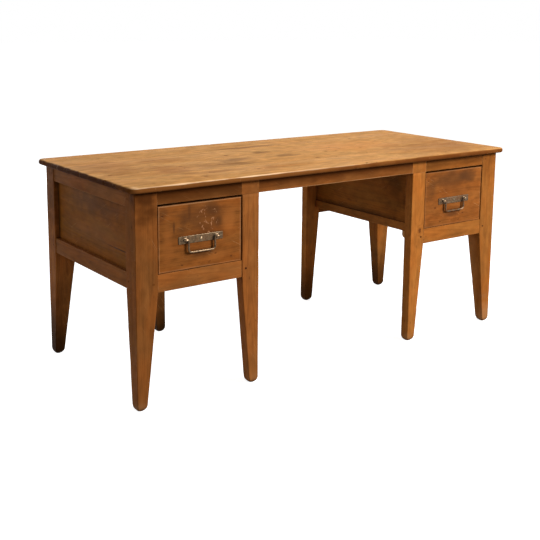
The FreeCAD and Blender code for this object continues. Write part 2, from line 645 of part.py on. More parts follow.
def panels():
    reach = "(groove_depth - panel_play)"
    both_pedestals(panel(
        "left_side_panel",
        (f"({OUTER_X} + side_panel_setback)", f"({FRONT_Y} + corner_leg_depth - {reach})",
         f"({SIDE_BOTTOM_TOP} - {reach})"),
        "panel_thickness", f"(base_depth - 2 * corner_leg_depth + 2 * {reach})",
        f"({SIDE_TOP} - {SIDE_BOTTOM_TOP} + 2 * {reach})"))
    both_pedestals(panel(
        "left_kneehole_panel",
        (f"({OPENING_END_X} + {INNER_PANEL_X})", f"({FRONT_Y} + inner_leg_depth - {reach})",
         f"({INNER_RAIL_TOP} - {reach})"),
        "panel_thickness", f"(base_depth - 2 * inner_leg_depth + 2 * {reach})",
        f"({OPENING_TOP} - {INNER_RAIL_TOP} + 2 * {reach})"))
    both_pedestals(panel(
        "left_back_panel",
        (f"({OPENING_X} - {reach})", f"({FRONT_Y} + {TENON_Y})", f"({OPENING_FLOOR} - {reach})"),
        f"({OPENING_WIDTH} + 2 * {reach})", "panel_thickness", f"(opening_height + 2 * {reach})", BACK))


# The runners carry the drawer's sides; the outer one is cut round the legs and has a guide on it.
def outer_runner():
    runner = Piece("left_outer_runner", (
        f"({OUTER_X} + side_setback + side_thickness)",
        f"({FRONT_Y} + {INSIDE_Y})",
        f"({OPENING_FLOOR} - runner_thickness)"))
    leg_side = "(corner_leg_width - side_setback - side_thickness)"
    reach = f"({leg_side} + runner_reach)"
    leg_back = f"(corner_leg_depth - {INSIDE_Y})"
    plan = [("0", leg_back), (leg_side, leg_back), (leg_side, "0"), (reach, "0"),
            (reach, CLEAR_DEPTH), (leg_side, CLEAR_DEPTH),
            (leg_side, f"{CLEAR_DEPTH} - {leg_back}"), ("0", f"{CLEAR_DEPTH} - {leg_back}")]
    runner.pad("board", runner.outline("plan", "XY_Plane", [plan]), "runner_thickness")
    runner.add("guide", (f"{leg_side} - guide_width", leg_back, "runner_thickness"),
               ("guide_width", f"{CLEAR_DEPTH} - 2 * {leg_back}", "guide_height"))
    return runner.body


def plain_bar(name, x, low, width, height):
    """A bar from the back of the front rail to the front of the back rail."""
    bar = Piece(name, (x, f"({FRONT_Y} + {INSIDE_Y})", low))
    bar.into_desk("bar", rectangle("0", "0", width, height), CLEAR_DEPTH)
    return bar.body


# The small blocks: drawer stops, blocks under the kneehole rails and blocks under the top.
def drawer_stop(number, x):
    stop = Piece(f"drawer_stop_{number}", (x, f"({DRAWER_Y} + {DRAWER_LENGTH} + stop_play)", OPENING_FLOOR))
    stop.into_desk("stop", rectangle("0", "0", "runner_reach", "stop_height"), "stop_width")
    return stop.body


def kneehole_bracket():
    low = f"({INNER_RAIL_LEVEL} - bracket_height)"
    bracket = Piece("bracket", (OPENING_END_X, f"({FRONT_Y} + inner_leg_depth)", low))
    bracket.into_desk("block", rectangle("0", "0", "inner_rail_thickness", "bracket_height"), "bracket_length")

    def free_corner(start, end):
        return is_along("x")(start, end) and start.z < FLOAT["overrun"] and start.y > FLOAT["bracket_round"]
    bracket.fillet("rounded", "bracket_round", free_corner)
    return bracket.body


def block_along(number, x, face):
    """A three-cornered block in the angle between the top and a front or back rail."""
    block = Piece(f"rail_block_{number}", (x, f"({FRONT_Y} + {INSIDE_Y})", UNDER_TOP), face)
    block.along_desk("block", [("0", "0"), ("block_side", "0"), ("0", "-block_side")], "block_length")
    return block.body


def block_into(number, y, face):
    """The same block behind the side rail."""
    x = f"({OUTER_X} + side_setback + side_thickness)"
    block = Piece(f"side_block_{number}", (x, y, UNDER_TOP), face)
    block.into_desk("block", [("0", "0"), ("block_side", "0"), ("0", "-block_side")], "block_length")
    return block.body


def group(name, parts):
    """Like pieces that share one name: the left-hand ones and their right-hand twins."""
    left = document.addObject("Part::Compound", name + "_left")
    left.Links = parts
    right = document.addObject("Part::Mirroring", name + "_right")
    right.Source = left
    right.Normal = FreeCAD.Vector(1, 0, 0)
    whole = document.addObject("Part::Compound", name)
    whole.Label = name
    whole.Links = [left, right]
    KEPT.append(whole)
    return whole


def glue_blocks():
    parts = [
        drawer_stop(1, OPENING_X),
        drawer_stop(2, f"({OPENING_END_X} - runner_reach)"),
        kneehole_bracket(),
    ]
    beside_kicker = f"(({OPENING_WIDTH} - kicker_width - 2 * block_length) / 4)"
    for face in (FRONT, BACK):
        tag = "front" if face == FRONT else "back"
        parts.append(block_along(f"{tag}_kneehole", f"({KNEEHOLE_X} / 2)", face))
        parts.append(block_along(f"{tag}_pedestal", f"({OPENING_X} + {beside_kicker})", face))
        parts.append(block_into(tag, f"({FRONT_Y} + 2 * corner_leg_depth)", face))
    group("glue_blocks", parts)


# The oak pegs that lock the tenons.
def peg(name, along, place, face=FRONT):
    """A peg whose outer end stands at place, driven into the desk, or along it where along is true."""
    pin = document.addObject("Part::Prism", name)
    pin.Polygon = PEG_SIDES
    pin.setExpression("Circumradius", sized("peg_diameter / 2"))
    pin.setExpression("Height", sized("peg_length"))
    x, y, z = place
    pin.Placement = FreeCAD.Placement(FreeCAD.Vector(0, 0, 0), FreeCAD.Rotation(
        FreeCAD.Vector(0, 1, 0) if along else FreeCAD.Vector(-face, 0, 0), 90))
    pin.setExpression(".Placement.Base.x", sized(x))
    pin.setExpression(".Placement.Base.y", sized(y if face == FRONT else f"-({y})"))
    pin.setExpression(".Placement.Base.z", sized(z))
    return pin


def joint_pegs():
    pins = []
    for face, rails in ((FRONT, RAILS_OF_FRONT), (BACK, RAILS_OF_BACK)):
        tag = "front" if face == FRONT else "back"
        outer_y = f"({FRONT_Y} - peg_proud)"
        for number, (low, height) in enumerate(rails):
            z, tall = tenon_span(low, height)
            middle = f"({z} + {tall} / 2)"
            place = (f"({OPENING_X} - peg_edge)", outer_y, middle)
            pins.append(peg(f"{tag}_corner_peg_{number}", False, place, face))
            if number == 1:
                place = (f"({OPENING_END_X} + peg_edge)", outer_y, middle)
                pins.append(peg(f"{tag}_kneehole_peg", False, place, face))
        for number, (low, height) in enumerate(RAILS_OF_SIDE):
            z, tall = tenon_span(low, height)
            y = f"({FRONT_Y} + corner_leg_depth - peg_edge)"
            place = (f"({OUTER_X} - peg_proud)", y, f"({z} + {tall} / 2)")
            pins.append(peg(f"{tag}_side_peg_{number}", True, place, face))
    group("joint_pegs", pins)


# The drawers: dovetailed at all four corners, the tails on the sides, the bottom slid in from the back.
def tail_loops(root, tip, low, height):
    """Outlines of the tails, wide at the tip, with a half pin below and above them."""
    pitch = f"({height} / {TAILS})"
    length = f"({tip} - {root})" if tip == DRAWER_LENGTH else f"({root} - {tip})"
    wide = f"({pitch} * {TAIL_SHARE} / 2)"
    narrow = f"({wide} - {length} * {TAIL_SLOPE_SHARE})"
    loops = []
    for number in range(TAILS):
        middle = f"({low} + {pitch} * {number + 0.5})"
        loops.append([(root, f"{middle} - {narrow}"), (tip, f"{middle} - {wide}"),
                      (tip, f"{middle} + {wide}"), (root, f"{middle} + {narrow}")])
    return loops


FRONT_TAILS = tail_loops("drawer_front_thickness", "drawer_lap", "0", SIDE_HEIGHT)
BACK_TAILS = tail_loops(BACK_LINE, DRAWER_LENGTH, BOTTOM_TOP, f"({SIDE_HEIGHT} - {BOTTOM_TOP})")


def drawer_side(name, x, groove_x):
    side = Piece(name, (x, DRAWER_Y, DRAWER_Z))
    length = f"({BACK_LINE} - drawer_front_thickness)"
    straight = rectangle("drawer_front_thickness", "0", length, SIDE_HEIGHT)
    side.along_desk("board", straight, "drawer_side_thickness")
    side.add("heel", ("0", BACK_LINE, "0"), ("drawer_side_thickness", "drawer_back_thickness", BOTTOM_TOP))
    for end, loops in (("front", FRONT_TAILS), ("back", BACK_TAILS)):
        lines = side.outline(f"{end}_tail_lines", "YZ_Plane", loops)
        side.pad(f"{end}_tails", lines, "drawer_side_thickness")
    start = "(drawer_front_thickness - drawer_groove_depth)"
    side.cut("bottom_groove", (groove_x, start, "drawer_bottom_rise"),
             ("drawer_groove_depth", f"{DRAWER_LENGTH} - {start} + overrun", "drawer_bottom_thickness"))
    return side.body


def cut_sockets(board, loops):
    """Cuts the room for the tails into both ends of a drawer's front or back."""
    for end, lift in (("left", "0"), ("right", DRAWER_WIDTH)):
        lines = board.outline(f"{end}_socket_lines", "YZ_Plane", loops, lift)
        board.pocket(f"{end}_sockets", lines, "2 * drawer_side_thickness", both=True)


HANDLE_Z = f"({FRONT_HEIGHT} / 2 - plate_drop)"


def drawer_front():
    front = Piece("left_drawer_front", (DRAWER_X, DRAWER_Y, DRAWER_Z))
    front.into_desk("board", rectangle("0", "0", DRAWER_WIDTH, FRONT_HEIGHT), "drawer_front_thickness")

    def face_edge(start, end):
        return max(start.y, end.y) < FLOAT["drawer_front_arris"]
    front.bevel("arris", "drawer_front_arris", face_edge)
    cut_sockets(front, FRONT_TAILS)
    inset = "(drawer_side_thickness - drawer_groove_depth)"
    front.cut("bottom_groove", (inset, "drawer_front_thickness - drawer_groove_depth", "drawer_bottom_rise"),
              (f"{DRAWER_WIDTH} - 2 * {inset}", "drawer_groove_depth + overrun", "drawer_bottom_thickness"))
    for number in (-1, 0, 1):
        x = f"{DRAWER_WIDTH} / 2 + screw_spacing * ({number})"
        front.bore_into(f"screw_hole_{number + 1}", x, HANDLE_Z,
                        "-overrun", "screw_length + overrun", "screw_diameter")
    return front.body


def drawer_back():
    back = Piece("left_drawer_back", (DRAWER_X, DRAWER_Y, DRAWER_Z))
    plan = rectangle("0", BACK_LINE, DRAWER_WIDTH, "drawer_back_thickness")
    back.pad("board", back.outline("plan", "XY_Plane", [plan], BOTTOM_TOP), f"{SIDE_HEIGHT} - {BOTTOM_TOP}")
    cut_sockets(back, BACK_TAILS)
    return back.body


def drawer_bottom():
    inset = "(drawer_side_thickness - drawer_groove_depth + drawer_bottom_play)"
    start = "(drawer_front_thickness - drawer_groove_depth + drawer_bottom_play)"
    bottom = Piece("left_drawer_bottom", (DRAWER_X, DRAWER_Y, f"({DRAWER_Z} + drawer_bottom_rise)"))
    plan = rectangle(inset, start, f"({DRAWER_WIDTH} - 2 * {inset})", f"({DRAWER_LENGTH} - {start})")
    bottom.pad("board", bottom.outline("plan", "XY_Plane", [plan]), "drawer_bottom_thickness")
    return bottom.body


def drawers():
    far_side = f"({DRAWER_X} + {DRAWER_WIDTH} - drawer_side_thickness)"
    both_pedestals(drawer_front())
    outer = drawer_side("left_drawer_outer_side", DRAWER_X, "(drawer_side_thickness - drawer_groove_depth)")
    both_pedestals(outer)
    both_pedestals(drawer_side("left_drawer_inner_side", far_side, "0"))
    both_pedestals(drawer_back())
    both_pedestals(drawer_bottom())


# The handles: an iron plate with two eyes, and a bail of round iron whose ends turn out into the eyes.
HANDLE_X = f"({OPENING_X} + {OPENING_WIDTH} / 2)"
PLATE_ORIGIN = (HANDLE_X, DRAWER_Y, f"({DRAWER_Z} + {HANDLE_Z})")
PIN_REACH = "(eye_spacing / 2 + eye_length / 2 + bail_pin_end)"


def handle_plate():
    plate = Piece("left_handle_plate", PLATE_ORIGIN)
    face = rectangle("-plate_length / 2", "-plate_height / 2", "plate_length", "plate_height")
    plate.pad("sheet", plate.outline("face", "XZ_Plane", [face]), "plate_thickness")
    for side, sign in (("left", "-"), ("right", "")):
        start = f"{sign}eye_spacing / 2 - eye_length / 2"
        plate.add(f"{side}_neck", (start, "-eye_standoff", "-eye_diameter / 2"),
                  ("eye_length", "eye_standoff - plate_thickness", "eye_diameter"))
        plate.rod("PartDesign::AdditiveCylinder", f"{side}_eye", "YZ_Plane",
                  ("-eye_standoff", "0", start), "eye_diameter", "eye_length")
        plate.rod("PartDesign::SubtractiveCylinder", f"{side}_bore", "YZ_Plane",
                  ("-eye_standoff", "0", f"{start} - overrun"),
                  "(bail_diameter + 2 * eye_play)", "eye_length + 2 * overrun")
    for number in (-1, 0, 1):
        plate.bore_into(f"screw_hole_{number + 1}", f"screw_spacing * ({number})", "0",
                        "-plate_thickness - overrun", "plate_thickness + 2 * overrun", "screw_diameter")
    return plate.body


def screw(number):
    """A screw whose head stands on the plate."""
    x, y, z = PLATE_ORIGIN
    turned = Piece(f"left_screw_{number + 1}", (f"({x} + screw_spacing * ({number}))", y, z))
    turned.rod("PartDesign::AdditivePrism", "shank", "XZ_Plane", ("0", "0", "-screw_length"),
               "screw_diameter", "screw_length + plate_thickness")
    head = turned.body.newObject("PartDesign::AdditiveCone", "head")
    turned.attach(head, "XZ_Plane", ("0", "0", "plate_thickness"))
    head.setExpression("Radius1", sized("screw_head_diameter / 2"))
    head.setExpression("Radius2", sized(f"screw_head_diameter / 2 * {CROWN_SHARE}"))
    head.setExpression("Height", sized("screw_head_height"))
    return turned.body


def handle_screws():
    screws = document.addObject("Part::Compound", "left_handle_screws")
    screws.Label = "left_handle_screws"
    screws.Links = [screw(number) for number in (-1, 0, 1)]
    both_pedestals(screws)


def bail():
    """One rod: pin, bend, arm, bend, grip, and the same back up."""
    x, y, z = PLATE_ORIGIN
    rod = Piece("left_bail", (x, f"({y} - eye_standoff)", z))
    path = rod.body.newObject("Sketcher::SketchObject", "path")
    rod.attach(path, "XZ_Plane")
    reach = FLOAT["eye_spacing"] / 2 + FLOAT["eye_length"] / 2 + FLOAT["bail_pin_end"]
    half = FLOAT["bail_width"] / 2
    drop = FLOAT["bail_drop"]
    corners = [(-reach, 0), (-half, 0), (-half, -drop), (half, -drop), (half, 0), (reach, 0)]
    bends = ["bail_pin_bend", "bail_corner_radius", "bail_corner_radius", "bail_pin_bend"]
    points = [FreeCAD.Vector(across, up, 0) for across, up in corners]
    trims = [0] + [FLOAT[word] for word in bends] + [0]
    for number, (start, end) in enumerate(zip(points, points[1:])):
        way = (end - start).normalize()
        path.addGeometry(Part.LineSegment(start + way * trims[number], end - way * trims[number + 1]))
        path.addConstraint(Sketcher.Constraint("Vertical" if number % 2 else "Horizontal", number))
    lines = len(points) - 1
    for number, word in enumerate(bends):
        before = path.Geometry[number]
        after = path.Geometry[number + 1]
        middle = before.EndPoint + after.StartPoint - points[number + 1]
        outward = (points[number + 1] - middle).normalize()
        path.addGeometry(Part.Arc(before.EndPoint, middle + outward * FLOAT[word], after.StartPoint))
        arc = lines + number
        turned_left = (before.EndPoint - middle).cross(after.StartPoint - middle).z > 0
        first, last = (1, 2) if turned_left else (2, 1)
        path.addConstraint(Sketcher.Constraint("Tangent", number, 2, arc, first))
        path.addConstraint(Sketcher.Constraint("Tangent", number + 1, 1, arc, last))
        radius = path.addConstraint(Sketcher.Constraint("Radius", arc, FLOAT[word]))
        path.renameConstraint(radius, f"bend_{number}")
        path.setExpression(f"Constraints.bend_{number}", sized(word))
    hold(path, 0, 1, "DistanceX", f"-{PIN_REACH}")
    hold(path, 0, 1, "DistanceY", "0")
    hold(path, 1, 1, "DistanceX", "-bail_width / 2")
    hold(path, 2, 1, "DistanceY", "-bail_drop")
    hold(path, 3, 1, "DistanceX", "bail_width / 2")
    hold(path, 4, 2, "DistanceX", PIN_REACH)
    hold(path, 4, 2, "DistanceY", "0")
    corners = []
    for step in range(BAIL_SIDES):
        turn = 2 * math.pi * step / BAIL_SIDES
        across, up = (f"bail_diameter * {share(turn) / 2:.6f}" for share in (math.cos, math.sin))
        corners.append((across, up))
    section = rod.outline("section", "YZ_Plane", [corners], f"-{PIN_REACH}")
    bent = rod.body.newObject("PartDesign::AdditivePipe", "rod")
    bent.Profile = section
    bent.Spine = (path, [])
    return rod.body


# The desk, put together.
top_boards()
for face, tag in ((FRONT, "front"), (BACK, "back")):
    both_pedestals(corner_leg(f"left_{tag}_leg", face))
    both_pedestals(kneehole_leg(f"left_kneehole_{tag}_leg", face))
both_pedestals(bearer())
both_pedestals(cross_rail("left_front_top_rail", OPENING_X, OPENING_WIDTH, OPENING_TOP,
                          "top_rail_height", FRONT, pegs=("left",)))
both_pedestals(cross_rail("left_back_top_rail", OPENING_X, OPENING_WIDTH, OPENING_TOP,
                          "top_rail_height", BACK, groove="bottom", pegs=("left",)))
for face, tag in ((FRONT, "front"), (BACK, "back")):
    KEPT.append(cross_rail(f"kneehole_{tag}_top_rail", KNEEHOLE_X, f"(-2 * {KNEEHOLE_X})", OPENING_TOP,
                           "top_rail_height", face))
both_pedestals(cross_rail("left_front_bottom_rail", OPENING_X, OPENING_WIDTH, FRONT_BOTTOM,
                          "front_bottom_height", FRONT, pegs=("left", "right")))
both_pedestals(cross_rail("left_back_bottom_rail", OPENING_X, OPENING_WIDTH, BACK_BOTTOM,
                          "back_bottom_height", BACK, groove="top", pegs=("left", "right")))
both_pedestals(side_rail("left_side_top_rail", SIDE_TOP, "side_top_height", "bottom"))
both_pedestals(side_rail("left_side_bottom_rail", SIDE_BOTTOM, "side_bottom_height", "top"))
both_pedestals(kneehole_rail())
panels()
both_pedestals(outer_runner())
both_pedestals(plain_bar("left_inner_runner", f"({OPENING_END_X} - runner_reach)",
                         f"({OPENING_FLOOR} - runner_thickness)", "runner_reach", "runner_thickness"))
both_pedestals(plain_bar("left_kicker", f"({HANDLE_X} - kicker_width / 2)",
                         OPENING_TOP, "kicker_width", "top_rail_height"))
joint_pegs()
glue_blocks()
drawers()
both_pedestals(handle_plate())
handle_screws()
both_pedestals(bail())
document.recompute()

# Every feature has to be sound, and every cut has to have cut something.
for entry in document.Objects:
    if "Invalid" in entry.State or "Error" in entry.State:
        raise RuntimeError(f"{entry.Label} is not sound: {entry.State}")
    if entry.TypeId == "PartDesign::Pocket" or entry.TypeId.startswith("PartDesign::Subtractive"):
        removed = entry.BaseFeature.Shape.Volume - entry.Shape.Volume
        if removed <= 0:
            raise RuntimeError(f"{entry.Label} cuts nothing")

os.makedirs("parts", exist_ok=True)
for piece in KEPT:
    if piece.Shape.isNull() or not piece.Shape.isValid():
        raise RuntimeError(f"{piece.Label} has no valid shape")
    piece.Shape.exportStep(f"parts/{piece.Label}.step")
print(len(KEPT), "pieces written")
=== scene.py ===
import math

import bmesh
import bpy
from mathutils import Matrix, Vector, noise


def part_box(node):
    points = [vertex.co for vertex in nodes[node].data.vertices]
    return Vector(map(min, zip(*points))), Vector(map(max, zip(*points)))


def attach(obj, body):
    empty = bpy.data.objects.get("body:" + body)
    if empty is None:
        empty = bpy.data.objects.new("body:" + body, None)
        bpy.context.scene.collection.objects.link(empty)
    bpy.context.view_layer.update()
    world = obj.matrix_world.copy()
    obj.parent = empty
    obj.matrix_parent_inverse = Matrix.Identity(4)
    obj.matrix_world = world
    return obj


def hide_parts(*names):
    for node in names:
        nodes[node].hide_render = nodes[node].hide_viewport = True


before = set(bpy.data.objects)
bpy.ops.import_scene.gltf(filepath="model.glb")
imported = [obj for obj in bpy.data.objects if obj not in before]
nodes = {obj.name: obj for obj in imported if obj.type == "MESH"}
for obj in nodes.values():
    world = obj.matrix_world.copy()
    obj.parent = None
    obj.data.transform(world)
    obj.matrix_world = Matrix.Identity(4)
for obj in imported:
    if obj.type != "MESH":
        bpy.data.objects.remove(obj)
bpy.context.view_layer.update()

# The studio: a pale floor that runs out of sight in a white room. The large soft lamp stands at the
# front right, so that the desk's left-hand sides lie in shade. A wide one hangs over the top, and two
# more lighten the left end and the back.
bpy.context.scene.view_settings.view_transform = "Standard"


def add(tree, kind, inputs=None, **settings):
    """One node, with its settings, and its inputs by name or number: a value or another node's output."""
    node = tree.nodes.new("ShaderNode" + kind)
    for name, value in settings.items():
        setattr(node, name, value)
    for name, value in (inputs or {}).items():
        if isinstance(value, bpy.types.NodeSocket):
            tree.links.new(value, node.inputs[name])
        else:
            node.inputs[name].default_value = value
    return node


def reckon(tree, operation, first, second=0.0, clamp=False):
    """One sum of one or two numbers."""
    return add(tree, "Math", {0: first, 1: second}, operation=operation, use_clamp=clamp).outputs[0]


def plus(tree, first, second, clamp=False):
    return reckon(tree, "ADD", first, second, clamp)


def times(tree, first, second):
    return reckon(tree, "MULTIPLY", first, second)


def looked_at(tree):
    """1 where the camera, a reflection or glass looks at a white thing, 0 for the light that it gives."""
    path = add(tree, "LightPath").outputs
    seen = plus(tree, path["Is Camera Ray"], path["Is Glossy Ray"])
    return plus(tree, seen, path["Is Transmission Ray"], clamp=True)


ROOM_LIGHT = 0.2
room = bpy.data.worlds.new("white_room")
bpy.context.scene.world = room
room.use_nodes = True
walls = room.node_tree.nodes["Background"]
walls.inputs["Color"].default_value = (1, 1, 1, 1)
strength = plus(room.node_tree, times(room.node_tree, looked_at(room.node_tree), 1 - ROOM_LIGHT), ROOM_LIGHT)
room.node_tree.links.new(strength, walls.inputs["Strength"])

FLOOR_REACH = 40
FLOOR_PALE = 0.8
FLOOR_GLOW = 0.85
FLOOR_LIGHT = 0.3
floor_corners = [(x * FLOOR_REACH, y * FLOOR_REACH, 0) for x, y in ((-1, -1), (1, -1), (1, 1), (-1, 1))]
floor_mesh = bpy.data.meshes.new("floor")
floor_mesh.from_pydata(floor_corners, [], [(0, 1, 2, 3)])
floor = bpy.data.objects.new("floor", floor_mesh)
bpy.context.collection.objects.link(floor)
floor_paint = bpy.data.materials.new("floor_paint")
floor_paint.use_nodes = True
floor_mesh.materials.append(floor_paint)
paint = floor_paint.node_tree
paint.nodes.remove(paint.nodes["Principled BSDF"])
looks = looked_at(paint)
pale = plus(paint, times(paint, looks, FLOOR_PALE - FLOOR_LIGHT), FLOOR_LIGHT)
matt = add(paint, "BsdfDiffuse", {"Color": pale})
glow = add(paint, "Emission", {"Strength": times(paint, looks, FLOOR_GLOW)})
both = add(paint, "AddShader", {0: matt.outputs[0], 1: glow.outputs[0]})
paint.links.new(both.outputs[0], paint.nodes["Material Output"].inputs["Surface"])

for name, place, aim, width, watts in (
        ("front_right_lamp", (2.4, -3.4, 2.6), (0.0, 0.0, 0.5), 1.4, 225),
        ("lamp_over_top", (0.5, 0.5, 3.6), (0.0, 0.0, 0.7), 2.2, 36),
        ("left_fill", (-4.0, -1.2, 1.8), (-0.6, 0.0, 0.4), 2.5, 18),
        ("back_fill", (-0.6, 4.6, 1.1), (0.0, 0.3, 0.4), 3.0, 85)):
    light = bpy.data.lights.new(name, "AREA")
    light.shape = "DISK"
    light.size = width
    light.energy = watts
    lamp = bpy.data.objects.new(name, light)
    bpy.context.collection.objects.link(lamp)
    lamp.location = place
    lamp.rotation_euler = (Vector(aim) - Vector(place)).to_track_quat("-Z", "Y").to_euler()

CAMERA_PLACE = (-2.2529, -3.0033, 1.3103)
YAW, DOWN, TILT = (math.radians(angle) for angle in (36.059, 9.946, 0.515))
camera_data = bpy.data.cameras.new("camera")
camera_data.sensor_width = 36
camera_data.lens = 62.55
camera_data.shift_x = -0.0009
camera_data.shift_y = -0.164
camera = bpy.data.objects.new("camera", camera_data)
bpy.context.collection.objects.link(camera)
bpy.context.scene.camera = camera
camera.matrix_world = (Matrix.Translation(CAMERA_PLACE) @ Matrix.Rotation(-YAW, 4, "Z")
                       @ Matrix.Rotation(math.pi / 2 - DOWN, 4, "X") @ Matrix.Rotation(TILT, 4, "Z"))

# The top: four pine boards joined edge to edge, the edge rounded to a nose all round and the corners
# cut to a curve. Waxed honey brown, rubbed pale along the front, with old stains and dark knots.


def srgb(red, green, blue):
    """A colour as it looks, 0 to 255, in the light values that a material takes."""
    return (*[((c / 255 + 0.055) / 1.055) ** 2.4 if c > 10 else c / 3294 for c in (red, green, blue)], 1.0)


def group(name, takes, gives):
    """A new node group with named inputs and outputs, and its two ends."""
    tree = bpy.data.node_groups.new(name, "ShaderNodeTree")
    for label, kind, value in takes:
        socket = tree.interface.new_socket(label, in_out="INPUT", socket_type="NodeSocket" + kind)
        socket.default_value = value
    for label, kind in gives:
        tree.interface.new_socket(label, in_out="OUTPUT", socket_type="NodeSocket" + kind)
    return tree, tree.nodes.new("NodeGroupInput").outputs, tree.nodes.new("NodeGroupOutput").inputs


def use(tree, made, inputs):
    """Places a group in a tree; the outputs of the node."""
    return add(tree, "Group", inputs, node_tree=made).outputs


def minus(tree, first, second):
    return reckon(tree, "SUBTRACT", first, second)


def shift(tree, first, second, operation):
    """One step with two places, such as ADD, SUBTRACT, MULTIPLY or DIVIDE, axis by axis."""
    return add(tree, "VectorMath", {0: first, 1: second}, operation=operation).outputs[0]


def mottle(tree, place, scale=1.0, detail=2.0):
    """Soft random patches, 0 to 1, with their middle near 0.5; a scale for each axis stretches them."""
    if isinstance(scale, tuple):
        place, scale = shift(tree, place, scale, "MULTIPLY"), 1.0
    return add(tree, "TexNoise", {"Vector": place, "Scale": scale, "Detail": detail}).outputs["Fac"]


def span(tree, value, low, high, start=0.0, end=1.0):
    """A smooth step: start below low, end above high."""
    return add(tree, "MapRange", {"Value": value, "From Min": low, "From Max": high, "To Min": start,
                                  "To Max": end}, interpolation_type="SMOOTHSTEP").outputs[0]


def tint(tree, share, under, over, way="MIX"):
    """Lays a share of one colour over another."""
    return add(tree, "Mix", {0: share, 6: under, 7: over}, data_type="RGBA", blend_type=way).outputs[2]


# Pine figure: year rings round a pith below the board, pale early wood and brown late wood, wavering
# along the grain, with fibres and streaks. The grain runs along X, and Z points out of the face.
figure, takes, gives = group("pine_figure", [
    ("Place", "Vector", (0, 0, 0)), ("Seed", "Vector", (0, 0, 0)), ("Ring Width", "Float", 0.005),
    ("Pith Depth", "Float", 0.06), ("Bend", "Float", 0.0),
    ("Early Wood", "Color", (1, 1, 1, 1)), ("Late Wood", "Color", (0.5, 0.5, 0.5, 1)),
    ("Late Share", "Float", 0.6), ("Clouds", "Float", 0.3), ("Blotches", "Float", 0.3),
    ("Ruddy", "Float", 1.0)],
    [("Color", "Color"), ("Height", "Float"), ("Cloud", "Float")])
GRAIN_RUN_OUT = 0.02
seeded = shift(figure, takes["Place"], takes["Seed"], "ADD")
spot = add(figure, "SeparateXYZ", {0: takes["Place"]}).outputs
deep = plus(figure, spot["Z"], takes["Pith Depth"])
radius = reckon(figure, "SQRT", plus(figure, times(figure, spot["Y"], spot["Y"]), times(figure, deep, deep)))
waver = mottle(figure, seeded, (1.3, 6, 6))
radius = plus(figure, radius, times(figure, minus(figure, waver, 0.5), 0.07))
radius = plus(figure, radius, times(figure, spot["X"], GRAIN_RUN_OUT))
radius = plus(figure, radius, takes["Bend"])
years = reckon(figure, "DIVIDE", radius, takes["Ring Width"])
years = plus(figure, years, times(figure, mottle(figure, seeded, (0.6, 22, 22), 1), 2.5))
season = reckon(figure, "FRACT", years)
late = times(figure, span(figure, season, 0.2, 0.9), span(figure, season, 0.92, 1.0, 1, 0))
fat_year = add(figure, "TexWhiteNoise", {"W": reckon(figure, "FLOOR", years)}, noise_dimensions="1D")
late = times(figure, late, span(figure, fat_year.outputs["Value"], 0, 1, 0.35, 1))
streak = mottle(figure, seeded, (1.7, 60, 60), 3)
fibre = mottle(figure, seeded, (14, 800, 800))
cloud = mottle(figure, seeded, (2.6, 9, 9), 4)
share = times(figure, late, takes["Late Share"])
share = plus(figure, share, span(figure, streak, 0.3, 0.75, -0.1, 0.3))
share = plus(figure, share, span(figure, fibre, 0.3, 0.7, -0.08, 0.08), clamp=True)
toned = tint(figure, share, takes["Early Wood"], takes["Late Wood"])
lift = times(figure, minus(figure, cloud, 0.5), takes["Clouds"])
blotch = span(figure, mottle(figure, seeded, (20, 42, 42), 5), 0.3, 0.7, -0.5, 0.5)
lift = plus(figure, lift, times(figure, blotch, takes["Blotches"]))
toned = add(figure, "VectorMath", {0: toned, 3: plus(figure, lift, 1.0)}, operation="SCALE").outputs[0]
ruddy = span(figure, mottle(figure, seeded, (5, 16, 16), 4), 0.35, 0.65)
hue = tint(figure, ruddy, (1.05, 0.95, 0.87, 1), (0.98, 1.0, 1.05, 1))
figure.links.new(tint(figure, takes["Ruddy"], toned, hue, "MULTIPLY"), gives["Color"])
figure.links.new(plus(figure, times(figure, late, 0.6), times(figure, fibre, 0.4)), gives["Height"])
figure.links.new(cloud, gives["Cloud"])


def distance_in_reach(tree, takes):
    """How far a place is from a centre, in reaches: 1 at the end of each half length."""
    away = shift(tree, takes["Place"], takes["Centre"], "SUBTRACT")
    away = shift(tree, away, takes["Reach"], "DIVIDE")
    return add(tree, "VectorMath", {0: away}, operation="LENGTH").outputs["Value"]


# A knot: a dark hard eye that the rings flow round. Reach is its half length along each axis.
knot, takes, gives = group("knot", [
    ("Place", "Vector", (0, 0, 0)), ("Centre", "Vector", (0, 0, 0)), ("Reach", "Vector", (0.01, 0.01, 0.01))],
    [("Eye", "Float"), ("Halo", "Float"), ("Bend", "Float")])
away = distance_in_reach(knot, takes)
ragged = plus(knot, away, span(knot, mottle(knot, takes["Place"], 90), 0.2, 0.8, -0.3, 0.3))
knot.links.new(span(knot, ragged, 0.6, 1.1, 1, 0), gives["Eye"])
knot.links.new(span(knot, ragged, 0.8, 2.6, 1, 0), gives["Halo"])
knot.links.new(span(knot, away, 0.3, 3.2, 0.011, 0), gives["Bend"])

# A mark: an old stain, rub or burn with a soft ragged edge. Reach is its half length along each axis.
mark, takes, gives = group("mark", [
    ("Place", "Vector", (0, 0, 0)), ("Centre", "Vector", (0, 0, 0)), ("Reach", "Vector", (0.05, 0.05, 0.05)),
    ("Ragged", "Float", 0.8)], [("Mask", "Float")])
uneven = mottle(mark, shift(mark, takes["Place"], (0.5, 1, 1), "MULTIPLY"), 22, 4)
uneven = times(mark, minus(mark, uneven, 0.5), takes["Ragged"])
away = plus(mark, distance_in_reach(mark, takes), times(mark, uneven, 2))
mark.links.new(span(mark, away, 0.25, 1.1, 1, 0), gives["Mask"])

